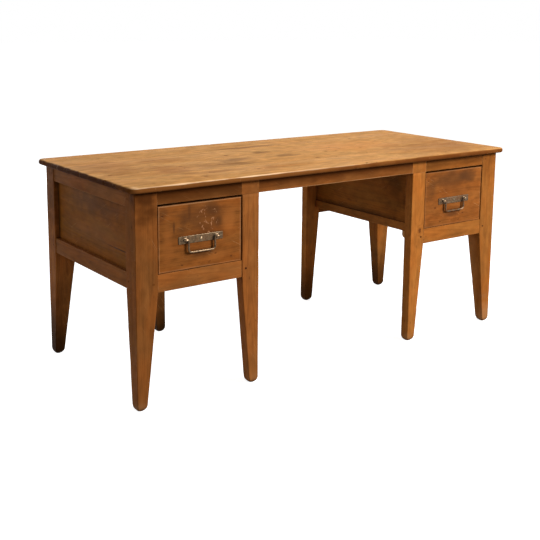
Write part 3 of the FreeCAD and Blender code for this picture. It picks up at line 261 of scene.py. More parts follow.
# Worn edges: where an arris stands out and hands, feet and dusters have rubbed it.
worn_edges, takes, gives = group("worn_edges", [
    ("Place", "Vector", (0, 0, 0)), ("Width", "Float", 0.003), ("Amount", "Float", 0.6)], [("Mask", "Float")])
rounded = add(worn_edges, "Bevel", {"Radius": takes["Width"]}, samples=6).outputs[0]
flat = add(worn_edges, "NewGeometry").outputs["Normal"]
turn = add(worn_edges, "VectorMath", {0: rounded, 1: flat}, operation="DOT_PRODUCT").outputs["Value"]
rubbed = span(worn_edges, mottle(worn_edges, takes["Place"], 26, 4), 0.35, 0.62)
edge = times(worn_edges, span(worn_edges, turn, 0.99, 0.8, 0, 1), rubbed)
worn_edges.links.new(times(worn_edges, edge, takes["Amount"]), gives["Mask"])

# Dark wax, dust and painted shade: ambient occlusion darkens corners, recesses and gaps between parts, broken
# up by dust.
grime_and_shade, takes, gives = group("grime_and_shade", [
    ("Place", "Vector", (0, 0, 0)), ("Reach", "Float", 0.02), ("Amount", "Float", 0.6)], [("Mask", "Float")])
open_sky = add(grime_and_shade, "AmbientOcclusion", {"Distance": takes["Reach"]}, samples=6).outputs["AO"]
dust = span(grime_and_shade, mottle(grime_and_shade, takes["Place"], 40, 4), 0.2, 0.7, 0.5, 1)
held_dirt_and_shade = times(grime_and_shade, span(grime_and_shade, open_sky, 0.9, 0.35, 0, 1), dust)
grime_and_shade.links.new(times(grime_and_shade, held_dirt_and_shade, takes["Amount"]), gives["Mask"])

# Knocks: small dark bruises along the grain, flecks in loose swarms, and fine pale scratches across.
knocks, takes, gives = group("knocks", [("Place", "Vector", (0, 0, 0)), ("Amount", "Float", 0.5)],
                             [("Bruise", "Float"), ("Scratch", "Float"), ("Fleck", "Float")])
cells = shift(knocks, takes["Place"], (26, 55, 55), "MULTIPLY")
cell = add(knocks, "TexVoronoi", {"Vector": cells, "Scale": 1.0}).outputs
few = add(knocks, "SeparateColor", {0: cell["Color"]}).outputs
fleck = times(knocks, span(knocks, cell["Distance"], 0.08, 0.22, 1, 0), span(knocks, few[0], 0.7, 0.95))
fleck = times(knocks, fleck, span(knocks, mottle(knocks, takes["Place"], 4), 0.44, 0.6))
bruise = span(knocks, mottle(knocks, takes["Place"], (45, 120, 120), 3), 0.67, 0.76)
bruise = times(knocks, bruise, span(knocks, mottle(knocks, takes["Place"], 7), 0.42, 0.6))
slanted = add(knocks, "VectorRotate", {"Vector": takes["Place"], "Angle": 0.5}, rotation_type="Z_AXIS")
scratch = span(knocks, mottle(knocks, slanted.outputs[0], (9, 650, 90), 1), 0.7, 0.78)
scratch = times(knocks, scratch, span(knocks, mottle(knocks, takes["Place"], 9, 1), 0.48, 0.62))
for label, mask in (("Bruise", bruise), ("Scratch", scratch), ("Fleck", fleck)):
    knocks.links.new(times(knocks, mask, takes["Amount"]), gives[label])

# Flaking: short curved scrapes where the old finish has come off in a patch.
flaking, takes, gives = group("flaking", [
    ("Place", "Vector", (0, 0, 0)), ("Centre", "Vector", (0, 0, 0)), ("Reach", "Vector", (0.05, 0.05, 0.05))],
    [("Mask", "Float")])
curl = mottle(flaking, shift(flaking, takes["Place"], (1, 1, 0.8), "MULTIPLY"), 46)
curl = reckon(flaking, "ABSOLUTE", minus(flaking, curl, 0.5))
crease = times(flaking, span(flaking, curl, 0.008, 0.04, 1, 0),
               span(flaking, mottle(flaking, takes["Place"], 130, 3), 0.46, 0.66))
patch = use(flaking, mark, {name: takes[name] for name in ("Place", "Centre", "Reach")})["Mask"]
flaking.links.new(times(flaking, crease, span(flaking, patch, 0.2, 0.6)), gives["Mask"])

BARE_WOOD = srgb(224, 178, 124)
FLAKED = srgb(198, 140, 98)
DARK_WAX_AND_SHADE = srgb(42, 24, 12)
BRUISED = srgb(58, 32, 16)
KNOT_BROWN = srgb(92, 48, 22)
WAX_TINT = (1.0, 0.78, 0.58, 1.0)
GRAIN_DEPTH = 0.0006
SEED_STEP = Vector((3.7, 1.9, 2.3))
boards_made = []


def shade(colour, tone):
    """A colour made darker or lighter by a share of its light."""
    return (*[part * tone for part in colour[:3]], 1.0)


def new_finish(name):
    material = bpy.data.materials.new(name)
    material.use_nodes = True
    return material, material.node_tree, material.node_tree.nodes["Principled BSDF"]


def pine(name, order, middle, early, late, marks=(), knots=(), tone=1.0, wear=0.5, dirt_and_shade=0.6, knocked=0.6,
         gloss=0.48, ring_width=0.0055, pith=0.07, clouds=0.4, blotches=0.24, late_share=0.35, ruddy=1.0,
         shine_share=0.02, edge_colour=BARE_WOOD, nose=None, flaked=None):
    """A finished pine surface. The order says which desk axes run along the grain, across it and out of
    the face; the marks are (centre, reach, colour, share), with a raggedness where it isn't 0.8, and
    the knots (centre, reach), on the desk."""
    early, late = shade(early, tone), shade(late, tone)
    boards_made.append(name)
    material, tree, surface = new_finish(name)
    coords = add(tree, "TexCoord").outputs
    place = coords["Object"]
    parts = add(tree, "SeparateXYZ", {0: shift(tree, place, middle, "SUBTRACT")}).outputs
    along = {number: parts[letter.upper()] for number, letter in enumerate(order)}
    board = add(tree, "CombineXYZ", along).outputs[0]
    eyes = [use(tree, knot, {"Place": place, "Centre": centre, "Reach": reach}) for centre, reach in knots]
    bend = 0.0
    for eye in eyes:
        bend = plus(tree, eye["Bend"], bend)
    wood = use(tree, figure, {
        "Place": board, "Seed": SEED_STEP * len(boards_made), "Ring Width": ring_width, "Pith Depth": pith,
        "Bend": bend, "Early Wood": early, "Late Wood": late, "Late Share": late_share, "Clouds": clouds,
        "Blotches": blotches, "Ruddy": ruddy})
    colour = wood["Color"]
    for eye in eyes:
        colour = tint(tree, times(tree, eye["Halo"], 0.35), colour, late)
        colour = tint(tree, times(tree, eye["Eye"], 0.8), colour, KNOT_BROWN)
    grain_end = [float(letter == order[0]) for letter in "xyz"]
    facing = add(tree, "VectorMath", {0: coords["Normal"], 1: grain_end}, operation="DOT_PRODUCT")
    facing = span(tree, reckon(tree, "ABSOLUTE", facing.outputs["Value"]), 0.6, 0.95)
    colour = tint(tree, times(tree, facing, 0.45), colour, late)
    # The nose darkens as its face turns away from up: brown patina on the rounded edge and painted shade on
    # its lower half.
    if nose:
        upward = add(tree, "SeparateXYZ", {0: coords["Normal"]}).outputs["Z"]
        colour = tint(tree, span(tree, upward, 0.97, 0.6, 0, 0.9), colour, nose)
    for centre, reach, dye, amount, *ragged in marks:
        mask = use(tree, mark, {"Place": place, "Centre": centre, "Reach": reach,
                                "Ragged": ragged[0] if ragged else 0.8})["Mask"]
        colour = tint(tree, times(tree, mask, amount), colour, dye)
    knock = use(tree, knocks, {"Place": board, "Amount": knocked})
    colour = tint(tree, knock["Bruise"], colour, BRUISED)
    colour = tint(tree, times(tree, knock["Fleck"], 0.55), colour, BRUISED)
    colour = tint(tree, times(tree, knock["Scratch"], 0.5), colour, BARE_WOOD)
    edge = use(tree, worn_edges, {"Place": place, "Amount": wear})["Mask"]
    colour = tint(tree, edge, colour, edge_colour)
    if flaked:
        centre, reach = flaked
        bare = use(tree, flaking, {"Place": place, "Centre": centre, "Reach": reach})["Mask"]
        colour = tint(tree, bare, colour, FLAKED)
    # Old wax and dust in corners, together with painted shade there, from ambient occlusion.
    dirt_and_shade_mask = use(tree, grime_and_shade, {"Place": place, "Amount": dirt_and_shade})["Mask"]
    tree.links.new(tint(tree, dirt_and_shade_mask, colour, DARK_WAX_AND_SHADE), surface.inputs["Base Color"])
    shine = span(tree, wood["Cloud"], 0.25, 0.75, gloss + 0.1, gloss - 0.06)
    shine = plus(tree, shine, times(tree, dirt_and_shade_mask, 0.3))
    tree.links.new(plus(tree, shine, times(tree, edge, 0.1)), surface.inputs["Roughness"])
    surface.inputs["Specular IOR Level"].default_value = shine_share
    surface.inputs["Specular Tint"].default_value = WAX_TINT
    height = minus(tree, wood["Height"], times(tree, knock["Bruise"], 1.5))
    height = minus(tree, height, knock["Scratch"])
    bump = add(tree, "Bump", {"Strength": 0.35, "Distance": GRAIN_DEPTH, "Height": height})
    tree.links.new(bump.outputs[0], surface.inputs["Normal"])
    return material


def piece(name, shape, body, material, stands_for):
    """Makes a finished shape a piece that rides on a body, in the place of a node."""
    bmesh.ops.recalc_face_normals(shape, faces=shape.faces)
    mesh = bpy.data.meshes.new(name)
    shape.to_mesh(mesh)
    shape.free()
    mesh.materials.append(material)
    shown = bpy.data.objects.new(name, mesh)
    bpy.context.collection.objects.link(shown)
    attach(shown, body)
    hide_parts(stands_for)


def wall(shape, lower, upper, smooth=True):
    """Faces all the way round from one closed row of points to another."""
    for number in range(len(lower)):
        after = (number + 1) % len(lower)
        shape.faces.new((lower[number], lower[after], upper[after], upper[number])).smooth = smooth


def skin(shape, rows, ends=True):
    """Walls from each closed row of points to the next, and a face over both ends."""
    for lower, upper in zip(rows, rows[1:]):
        wall(shape, lower, upper)
    if ends:
        shape.faces.new(rows[0][::-1])
        shape.faces.new(rows[-1])


def eased_outline(length, width, corner, step, bends=8):
    """Points round a rectangle with round corners, each with its way out: (u, v, out_u, out_v)."""
    outline = []
    for turn, (su, sv) in enumerate(((1, -1), (1, 1), (-1, 1), (-1, -1))):
        cu, cv = su * (length / 2 - corner), sv * (width / 2 - corner)
        for number in range(bends + 1):
            angle = (turn - 1 + number / bends) * math.pi / 2
            outline.append((cu + corner * math.cos(angle), cv + corner * math.sin(angle),
                            math.cos(angle), math.sin(angle)))
        run = width - 2 * corner if turn % 2 == 0 else length - 2 * corner
        count = max(1, round(run / step))
        u, v, out_u, out_v = outline[-1]
        for number in range(1, count):
            along = run * number / count
            outline.append((u - out_v * along, v + out_u * along, out_u, out_v))
    return outline


def slab(outline, profile, spot):
    """A board from its outline and the profile of its edge, (inset, height) from one face to the other."""
    shape = bmesh.new()
    skin(shape, [[shape.verts.new(spot(u - out_u * inset, v - out_v * inset, height))
                  for u, v, out_u, out_v in outline] for inset, height in profile])
    return shape


top_low, top_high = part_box("top_front_board")
TOP_LENGTH = top_high.x - top_low.x
TOP_DEPTH = -2 * top_low.y
UNDER_TOP, Z = top_low.z, top_high.z
CORNER_CURVE = 0.030
NOSE = 0.0085
NOSE_STEPS = 7
EDGE_BAND = 0.02
SEAM = 0.0002
OUTLINE_STEP = 0.009


def nose_profile():
    rows = [(NOSE * (1 - math.sin(turn)), UNDER_TOP + NOSE * (1 - math.cos(turn)))
            for turn in (math.pi / 2 * step / NOSE_STEPS for step in range(NOSE_STEPS + 1))]
    return rows + [(inset, Z - (height - UNDER_TOP)) for inset, height in reversed(rows)]


def worn_nose(x, y, z):
    """The top's edge as use has left it: rubbed down along the front, nicked here and there."""
    from_edges = (TOP_LENGTH / 2 - abs(x), TOP_DEPTH / 2 - abs(y))
    inset = max(0.0, *[min(1.0, 1 - distance / EDGE_BAND) for distance in from_edges])
    high = max(0.0, (z - UNDER_TOP - 0.008) / 0.012)
    if inset == 0 or high == 0:
        return Vector((x, y, z))
    uneven = noise.noise(Vector((x * 21, y * 21, 5)))
    nick = max(0.0, noise.noise(Vector((x * 75, y * 75, 9))) - 0.42) * 0.009
    rubbed_down = 0.0009 if y < 0 and -0.56 < x < 0.13 else 0.0003
    drop = (rubbed_down * (1 + uneven) + nick) * inset * high
    sideways = math.copysign(drop, x) if abs(x) > abs(y) * 2.2 else 0.0
    return Vector((x - sideways, y - math.copysign(drop, y) * 0.7, z - drop))


TOP_PALE = srgb(202, 149, 88)
TOP_BROWN = srgb(165, 110, 58)
NOSE_BROWN = srgb(118, 66, 26)
FRONT_NOSE_BROWN = srgb(92, 44, 12)
END_BROWN = srgb(66, 32, 10)
GREY_STAIN = srgb(98, 66, 42)
RUDDY_STAIN = srgb(150, 92, 46)
HONEY_GLOW = srgb(206, 130, 62)
LEFT_FRONT_STAIN = srgb(120, 78, 46)
RIGHT_END_STAIN = srgb(160, 102, 50)
RIGHT_FRONT_STAIN = srgb(148, 96, 50)
RUBBED_PALE = srgb(246, 206, 160)
NOSE_TOP = Z - 0.0022
TOP_MARKS = [
    ((-0.318, -0.125, Z), (0.13, 0.06, 0.05), GREY_STAIN, 0.5),
    ((-0.27, -0.045, Z), (0.09, 0.045, 0.05), GREY_STAIN, 0.45),
    ((-0.44, -0.10, Z), (0.08, 0.06, 0.05), GREY_STAIN, 0.4),
    ((-0.033, 0.215, Z), (0.15, 0.024, 0.05), GREY_STAIN, 0.6),
    ((-0.15, 0.222, Z), (0.06, 0.018, 0.05), GREY_STAIN, 0.5),
    ((-0.078, 0.065, Z), (0.06, 0.038, 0.05), GREY_STAIN, 0.6),
    ((-0.023, -0.05, Z), (0.055, 0.038, 0.05), GREY_STAIN, 0.45),
    ((0.35, 0.02, Z), (0.3, 0.16, 0.05), HONEY_GLOW, 0.35),
    ((-0.76, 0.02, Z), (0.14, 0.20, 0.05), RUDDY_STAIN, 0.4),
    ((-0.60, -0.13, Z), (0.10, 0.12, 0.05), RUDDY_STAIN, 0.5),
    ((-0.50, 0.08, Z), (0.12, 0.08, 0.05), RUDDY_STAIN, 0.35),
    ((-0.46, -0.24, Z), (0.09, 0.03, 0.05), LEFT_FRONT_STAIN, 0.45),
    ((0.78, -0.05, Z), (0.16, 0.26, 0.05), RIGHT_END_STAIN, 0.4),
    # Dark stain and painted shade along the left end of the nose.
    ((-0.893, 0.0, Z - 0.008), (0.012, 0.7, 0.03), END_BROWN, 0.95),
    ((0.893, 0.0, Z - 0.012), (0.012, 0.7, 0.03), NOSE_BROWN, 0.6),
    ((0.0, 0.387, Z - 0.004), (1.6, 0.012, 0.02), END_BROWN, 0.8),
    # Brown patina and painted shade on the lower half of the front nose, right of the middle.
    ((0.6, -0.387, Z - 0.012), (0.8, 0.012, 0.018), FRONT_NOSE_BROWN, 0.7),
    ((0.66, -0.2, Z), (0.34, 0.22, 0.05), RIGHT_FRONT_STAIN, 0.55),
    ((-0.74, -0.3825, NOSE_TOP), (0.22, 0.0075, 0.0032), RUBBED_PALE, 0.8),
    ((-0.872, -0.366, NOSE_TOP), (0.02, 0.03, 0.0036), RUBBED_PALE, 0.7),
    ((-0.24, -0.3825, NOSE_TOP), (0.50, 0.0075, 0.0030), RUBBED_PALE, 0.4),
    ((-0.46, -0.3825, NOSE_TOP), (0.24, 0.0075, 0.0032), RUBBED_PALE, 1.0),
]
TOP_KNOTS = [((x, y, Z), (0.009, 0.006, 0.03)) for x, y in (
    (-0.523, -0.07), (-0.238, 0.065), (0.372, -0.045), (0.177, -0.05), (0.037, -0.17),
    (-0.318, -0.275), (-0.563, -0.305), (0.52, 0.2), (-0.7, 0.25), (-0.827, -0.107))]
KNOT_MARGIN = 0.03
top_outline = eased_outline(TOP_LENGTH, TOP_DEPTH, CORNER_CURVE, OUTLINE_STEP)
top_boards = ("top_front_board", "top_second_board", "top_third_board", "top_back_board")
BOARD_DEPTH = TOP_DEPTH / len(top_boards)
for number, node in enumerate(top_boards):
    front = -TOP_DEPTH / 2 + BOARD_DEPTH * number
    back = front + BOARD_DEPTH
    board = slab(top_outline, nose_profile(), worn_nose)
    for edge, keep in ((front + SEAM, -1), (back - SEAM, 1)):
        if abs(edge) > TOP_DEPTH / 2 - NOSE:
            continue
        whole = board.verts[:] + board.edges[:] + board.faces[:]
        cut = bmesh.ops.bisect_plane(board, geom=whole, plane_co=(0, edge, 0), plane_no=(0, keep, 0),
                                     clear_outer=True)["geom_cut"]
        rim = [item for item in cut if isinstance(item, bmesh.types.BMEdge)]
        bmesh.ops.holes_fill(board, edges=rim, sides=0)
    lean = (-1) ** number
    middle = (lean * 0.15, (front + back) / 2 + 0.02 * lean, Z)
    marks = [entry for entry in TOP_MARKS if front - entry[1][1] < entry[0][1] < back + entry[1][1]]
    knots = [entry for entry in TOP_KNOTS if front - KNOT_MARGIN < entry[0][1] < back + KNOT_MARGIN]
    finish = pine(f"waxed_{node}", "xyz", middle, TOP_PALE, TOP_BROWN, marks, knots, wear=0.45, dirt_and_shade=0.3,
                  knocked=1.4, gloss=0.42, pith=0.045 + 0.03 * (number % 3), ring_width=0.0065, clouds=0.22,
                  blotches=0.3, late_share=0.42, ruddy=0.5, shine_share=0.004, nose=NOSE_BROWN)
    piece(f"{node}_worn", board, "desk", finish, node)

# The legs: eight sawn pine posts. The corner legs taper on their two inner faces and the kneehole legs
# on the drawer side, from the rails down. Brown stain, the arrises eased by wear and the feet rounded.
SIDES = (("left", -1), ("right", 1))
# Early and late wood for each side; the right-hand pair is a touch more yellow, a lit copy that paints in the
# warmer light falling on that side.
FRAME_WOOD_AS_LIT = {"left": (srgb(158, 97, 46), srgb(116, 68, 31)), "right": (srgb(159, 98, 42), srgb(117, 68, 27))}
LEG_TONES = {"left_front_leg": 0.8, "left_kneehole_front_leg": 0.96, "right_kneehole_front_leg": 1.24,
             "right_front_leg": 1.0, "left_back_leg": 1.12, "left_kneehole_back_leg": 0.95,
             "right_kneehole_back_leg": 1.4, "right_back_leg": 0.84}
TAPER_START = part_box("left_front_bottom_rail")[0].z
KNEEHOLE_LEG_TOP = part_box("left_bearer")[0].z
ARRIS = 0.0026
ARRIS_LEAD = 0.0018
ARRIS_TURNS = ((0, -ARRIS_LEAD), (0, 0), (0.17, 0), (0.34, 0), (0.5, 0), (0.66, 0), (0.83, 0), (1, 0),
               (1, ARRIS_LEAD))
LEG_STEP = 0.012
FOOT_ROUND = 0.022
FOOT_IN = 0.0125
FOOT_ROWS = (0, 0.04, 0.1, 0.19, 0.3, 0.44, 0.6, 0.8)
CORNER_FOOT = (0.036, 0.040)
KNEEHOLE_FOOT = 0.037


def leg_shape(low, high, top, straight_x, straight_y, foot_width, foot_depth):
    """A post whose straight faces are at straight_x and straight_y; the other faces taper."""
    width, depth = high.x - low.x, high.y - low.y
    middle_x, middle_y = (low.x + high.x) / 2, (low.y + high.y) / 2
    levels = round((top - FOOT_ROUND) / LEG_STEP)
    heights = [FOOT_ROUND * share for share in FOOT_ROWS]
    heights += [FOOT_ROUND + (top - FOOT_ROUND) * number / levels for number in range(levels + 1)]
    shape = bmesh.new()
    rows = []
    for z in heights:
        down = max(0.0, 1 - z / TAPER_START)
        across, deep = width + (foot_width - width) * down, depth + (foot_depth - depth) * down
        shrink = FOOT_IN * (1 - math.sqrt(1 - (1 - z / FOOT_ROUND) ** 2)) if z < FOOT_ROUND else 0.0
        centre_x = straight_x - math.copysign(across / 2, straight_x - middle_x)
        centre_y = straight_y - math.copysign(deep / 2, straight_y - middle_y)
        row = []
        for turn, (su, sv) in enumerate(((1, -1), (1, 1), (-1, 1), (-1, -1))):
            round_by = ARRIS * (1 + 0.5 * noise.noise(Vector((turn * 7, z * 9, low.x * 5)))) + 0.9 * shrink
            round_by = min(round_by, min(across, deep) / 2 - shrink - 0.0005)
            cu, cv = su * (across / 2 - shrink - round_by), sv * (deep / 2 - shrink - round_by)
            nick = max(0.0, noise.noise(Vector((turn * 11 + low.x * 9, z * 38, low.y * 7))) - 0.35) * 0.004
            start = (turn - 1) * math.pi / 2
            for share, lead in ARRIS_TURNS:
                turned = start + share * math.pi / 2
                reach = round_by - nick * math.sin(share * math.pi)
                u = cu + reach * math.cos(turned) - lead * math.sin(turned)
                v = cv + reach * math.sin(turned) + lead * math.cos(turned)
                row.append(shape.verts.new((centre_x + u, centre_y + v, z)))
        rows.append(row)
    skin(shape, rows)
    return shape


WORN_FOOT = srgb(176, 130, 88)
PALE_LEG = srgb(206, 140, 84)
DARK_PATINA_AND_SHADE = srgb(64, 30, 8)
SHADED_FOOT = srgb(14, 6, 1)
BACK_SHADE = {"left": (0.37, 0.94), "right": (0.29, 0.8)}
HEAD_PATINA = {"left_front_leg": 0.8, "left_back_leg": 0.6, "right_front_leg": 0.35, "right_back_leg": 0.35}
leg_knots = {"right_kneehole_front_leg": [((0.424, -0.358, 0.462), (0.008, 0.01, 0.011))]}
for side, sign in SIDES:
    for row in ("front", "back"):
        for kind in ("", "kneehole_"):
            node = f"{side}_{kind}{row}_leg"
            low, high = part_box(node)
            outer_x, inner_x = (low.x, high.x) if sign < 0 else (high.x, low.x)
            straight_x = inner_x if kind else outer_x
            straight_y = low.y if row == "front" else high.y
            foot_width, foot_depth = (KNEEHOLE_FOOT, high.y - low.y) if kind else CORNER_FOOT
            foot_x = straight_x - math.copysign(foot_width / 2, straight_x)
            foot = (foot_x, straight_y, 0.0)
            if row == "back":
                height, share = BACK_SHADE[side]
                marks = [((foot_x, straight_y, -0.05), (0.2, 0.2, height), SHADED_FOOT, share, 0.15)]
            elif node == "right_front_leg":
                marks = [(foot, (0.06, 0.06, 0.13), WORN_FOOT, 0.45),
                         ((low.x, high.y, 0.2), (0.07, 0.055, 0.5), PALE_LEG, 0.6, 0.3)]
            else:
                marks = [(foot, (0.06, 0.06, 0.05), WORN_FOOT, 0.35)]
            if not kind:
                head = ((low.x + high.x) / 2, straight_y, 0.75)
                reach = (0.06, 0.06, 0.13) if row == "front" else (0.2, 0.2, 0.36)
                marks.append((head, reach, DARK_PATINA_AND_SHADE, HEAD_PATINA[node]))
            elif row == "front":
                # Painted shade from the top's overhang on the kneehole front legs' heads, and a thin dark line
                # down the front arris on the drawer side.
                marks.append(((foot_x, straight_y, 0.76), (0.1, 0.06, 0.06), DARK_PATINA_AND_SHADE, 0.65, 0.3))
                marks.append(((outer_x, straight_y, 0.4), (0.0045, 0.0045, 0.9), DARK_PATINA_AND_SHADE, 0.8))
            leg = leg_shape(low, high, KNEEHOLE_LEG_TOP if kind else UNDER_TOP, straight_x, straight_y,
                            foot_width, foot_depth)
            middle = ((low.x + high.x) / 2 + 0.01, (low.y + high.y) / 2, 0.4)
            finish = pine(f"stained_{node}", "zxy", middle, *FRAME_WOOD_AS_LIT[side], marks, leg_knots.get(node, []),
                          LEG_TONES[node], pith=0.05, wear=0.4, dirt_and_shade=0.55)
            piece(f"{node}_worn", leg, "desk", finish, node)

# The rails and bearers: sawn pine, tenoned into the legs. The top rails carry the top, the bottom rails
# the drawers and panels. Stained as the legs are, with painted shade on the front rails under the top's
# overhang.


def dress(node, finish):
    """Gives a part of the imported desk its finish."""
    nodes[node].data.materials.clear()
    nodes[node].data.materials.append(finish)


def node_middle(node):
    low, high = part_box(node)
    return (low + high) / 2


RAIL_TONES = {"left_front_top_rail": 0.55, "kneehole_front_top_rail": 0.84, "right_front_top_rail": 0.9,
              "left_front_bottom_rail": 0.98, "right_front_bottom_rail": 1.02, "left_bearer": 1.0,
              "right_bearer": 1.25, "left_side_bottom_rail": 0.88, "right_kneehole_rail": 1.2}
UNDER_SHADE = srgb(72, 34, 7)
WORN_LINE = srgb(206, 150, 98)
ARRIS_HIGHLIGHT = srgb(150, 98, 56)
# A painted highlight: a pale line along the bottom arris of the left side's top rail.
rail_marks = {"left_side_top_rail": [
    ((-0.866, -0.05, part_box("left_side_top_rail")[0].z + 0.001), (0.03, 0.6, 0.003), ARRIS_HIGHLIGHT, 0.6)]}
for name, share in (("left_front_top_rail", 0.85), ("kneehole_front_top_rail", 0.85),
                    ("right_front_top_rail", 0.7)):
    low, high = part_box(name)
    under_top = ((low.x + high.x) / 2, low.y, high.z + 0.004)
    rail_marks[name] = [(under_top, (1.6, 0.05, 0.056), UNDER_SHADE, share, 0.25)]
low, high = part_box("kneehole_front_top_rail")
rail_marks["kneehole_front_top_rail"].append(((0.0, low.y, low.z), (0.6, 0.01, 0.0035), WORN_LINE, 0.5))
for side, sign in SIDES:
    for node, order in (("front_top_rail", "xzy"), ("back_top_rail", "xzy"), ("front_bottom_rail", "xzy"),
                        ("back_bottom_rail", "xzy"), ("side_top_rail", "yzx"), ("side_bottom_rail", "yzx"),
                        ("kneehole_rail", "yzx"), ("bearer", "yzx")):
        name = f"{side}_{node}"
        dress(name, pine(f"stained_{name}", order, node_middle(name), *FRAME_WOOD_AS_LIT[side],
                         rail_marks.get(name, ()), tone=RAIL_TONES.get(name, 0.85), pith=0.06, wear=0.4,
                         dirt_and_shade=0.3 if node == "front_top_rail" else 0.6))
for name in ("kneehole_front_top_rail", "kneehole_back_top_rail"):
    dress(name, pine(f"stained_{name}", "xzy", node_middle(name), *FRAME_WOOD_AS_LIT["left"],
                     rail_marks.get(name, ()), tone=RAIL_TONES.get(name, 0.85), pith=0.06, dirt_and_shade=0.3))

# The panels: thin pine boards, loose in grooves of the legs and rails so that they can move. Their
# faces are stained brown and dull, with dark old wax and painted shade in their corners and recesses.
PANEL_LIGHT = srgb(146, 89, 33)
PANEL_DARK = srgb(116, 69, 24)
PANEL_TONES = {"left_side_panel": 0.95, "right_kneehole_panel": 1.25}
CRACK_AND_SHADOW = srgb(40, 20, 8)
panel_marks = {
    "left_side_panel": [
        # A crack low down, the panel darker along its top, and painted shadow in the recess beside the back
        # leg.
        ((-0.85, -0.20, 0.531), (0.03, 0.11, 0.0022), CRACK_AND_SHADOW, 0.9),
        ((-0.85, -0.05, 0.66), (0.03, 0.30, 0.06), DARK_PATINA_AND_SHADE, 0.45),
        ((-0.85, 0.296, 0.60), (0.03, 0.03, 0.30), CRACK_AND_SHADOW, 0.85, 0.2)],
    "right_kneehole_panel": [
        # Painted shadow: a dark strip along the bottom of the panel above the rail, and its front part darker.
        ((0.40, 0.0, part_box("right_kneehole_panel")[0].z + 0.012), (0.06, 0.6, 0.020), CRACK_AND_SHADOW, 0.75, 0.2),
        ((0.40, -0.22, 0.60), (0.06, 0.16, 0.14), CRACK_AND_SHADOW, 0.5)]}
for side, sign in SIDES:
    for node, order in (("side_panel", "yzx"), ("kneehole_panel", "yzx"), ("back_panel", "xzy")):
        name = f"{side}_{node}"
        dress(name, pine(f"stained_{name}", order, node_middle(name), PANEL_LIGHT, PANEL_DARK,
                         panel_marks.get(name, ()), tone=PANEL_TONES.get(name, 0.9), pith=0.08,
                         ring_width=0.007, wear=0.1, dirt_and_shade=0.7, gloss=0.5))

# The pegs: short oak rods driven through the tenons, their end grain standing a hair out of the legs.
# Three of those in front have gone black with wax.
OAK_PALE = srgb(128, 74, 30)
OAK_BROWN = srgb(104, 58, 22)
OAK_BLACK = srgb(62, 30, 12)
oak, tree, surface = new_finish("oak_end_grain")
place = add(tree, "TexCoord").outputs["Object"]
pores = mottle(tree, place, 1400)
colour = tint(tree, span(tree, pores, 0.35, 0.65), OAK_PALE, OAK_BROWN)
for peg in ((-0.429, -0.358, 0.432), (0.437, -0.358, 0.432), (0.806, -0.358, 0.430)):
    blackened = use(tree, mark, {"Place": place, "Centre": peg, "Reach": (0.02, 0.02, 0.02)})["Mask"]
    colour = tint(tree, blackened, colour, OAK_BLACK)
# Painted shade and old wax round the peg ends, from ambient occlusion.
dirt_and_shade_mask = use(tree, grime_and_shade, {"Place": place, "Reach": 0.004, "Amount": 0.4})["Mask"]
surface.inputs["Specular IOR Level"].default_value = 0.02
tree.links.new(tint(tree, dirt_and_shade_mask, colour, DARK_WAX_AND_SHADE), surface.inputs["Base Color"])
tree.links.new(span(tree, pores, 0.3, 0.7, 0.45, 0.65), surface.inputs["Roughness"])
dress("joint_pegs", oak)

# The drawers' rails: runners under their sides and kickers over them, with the glue blocks under the
# top. All plain pine, planed, glued in place and never stained.
INSIDE_WOOD = (srgb(214, 163, 104), srgb(166, 111, 60))
INSIDE_GLOSS = 0.6
for side, sign in SIDES:
    for node in ("outer_runner", "inner_runner", "kicker"):
        name = f"{side}_{node}"
        dress(name, pine(f"bare_{name}", "yxz", node_middle(name), *INSIDE_WOOD, gloss=INSIDE_GLOSS))
dress("glue_blocks", pine("bare_glue_blocks", "xyz", Vector((0, 0, 0.74)), *INSIDE_WOOD, gloss=INSIDE_GLOSS))

# The drawers: dovetailed boxes. The fronts are thick stained boards, dark with handling, the left one
# scraped above its handle; the sides, backs and bottoms are bare pine.
DRAWER_LIGHT = srgb(142, 84, 36)
DRAWER_DARK = srgb(106, 60, 26)
DRAWER_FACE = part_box("left_drawer_front")[0].y
HANDLED = srgb(96, 58, 32)
HAND_DARK = srgb(82, 50, 28)
GLOWING = srgb(182, 108, 50)
EMBER = srgb(120, 66, 28)
EDGE_LIGHT = srgb(206, 148, 100)
EDGE_WEAR_AND_HIGHLIGHT = {"left": 1.0, "right": 0.4}
hand_marks = {
    "left": [
        (-0.61, 0.635, 0.14, 0.07, HANDLED, 0.62),
        (-0.565, 0.665, 0.034, 0.045, HAND_DARK, 0.55),
        (-0.545, 0.62, 0.02, 0.03, HAND_DARK, 0.6),
        (-0.683, 0.632, 0.026, 0.036, HAND_DARK, 0.5),
        (-0.72, 0.618, 0.006, 0.03, HAND_DARK, 0.7),
        (-0.66, 0.665, 0.008, 0.04, HAND_DARK, 0.5),
        (-0.775, 0.66, 0.03, 0.06, HAND_DARK, 0.45),
        (-0.6155, 0.515, 0.07, 0.018, HAND_DARK, 0.6),
        (-0.50, 0.615, 0.035, 0.06, GLOWING, 0.5),
        (-0.745, 0.56, 0.03, 0.08, GLOWING, 0.3),
        (-0.54, 0.50, 0.06, 0.02, GLOWING, 0.4)],
    "right": [
        (0.6155, 0.515, 0.07, 0.02, HAND_DARK, 0.6),
        (0.70, 0.665, 0.07, 0.035, HAND_DARK, 0.7),
        (0.60, 0.66, 0.16, 0.05, HAND_DARK, 0.62),
        (0.49, 0.62, 0.035, 0.08, HAND_DARK, 0.5),
        (0.60, 0.61, 0.2, 0.04, EMBER, 0.4)]}
flaked_off = {"left": ((-0.59, DRAWER_FACE, 0.628), (0.056, 0.02, 0.055))}
drawer_knots = {"left": [((-0.492, DRAWER_FACE, 0.489), (0.004, 0.01, 0.003))],
                "right": [((0.511, DRAWER_FACE, 0.545), (0.006, 0.01, 0.004))]}
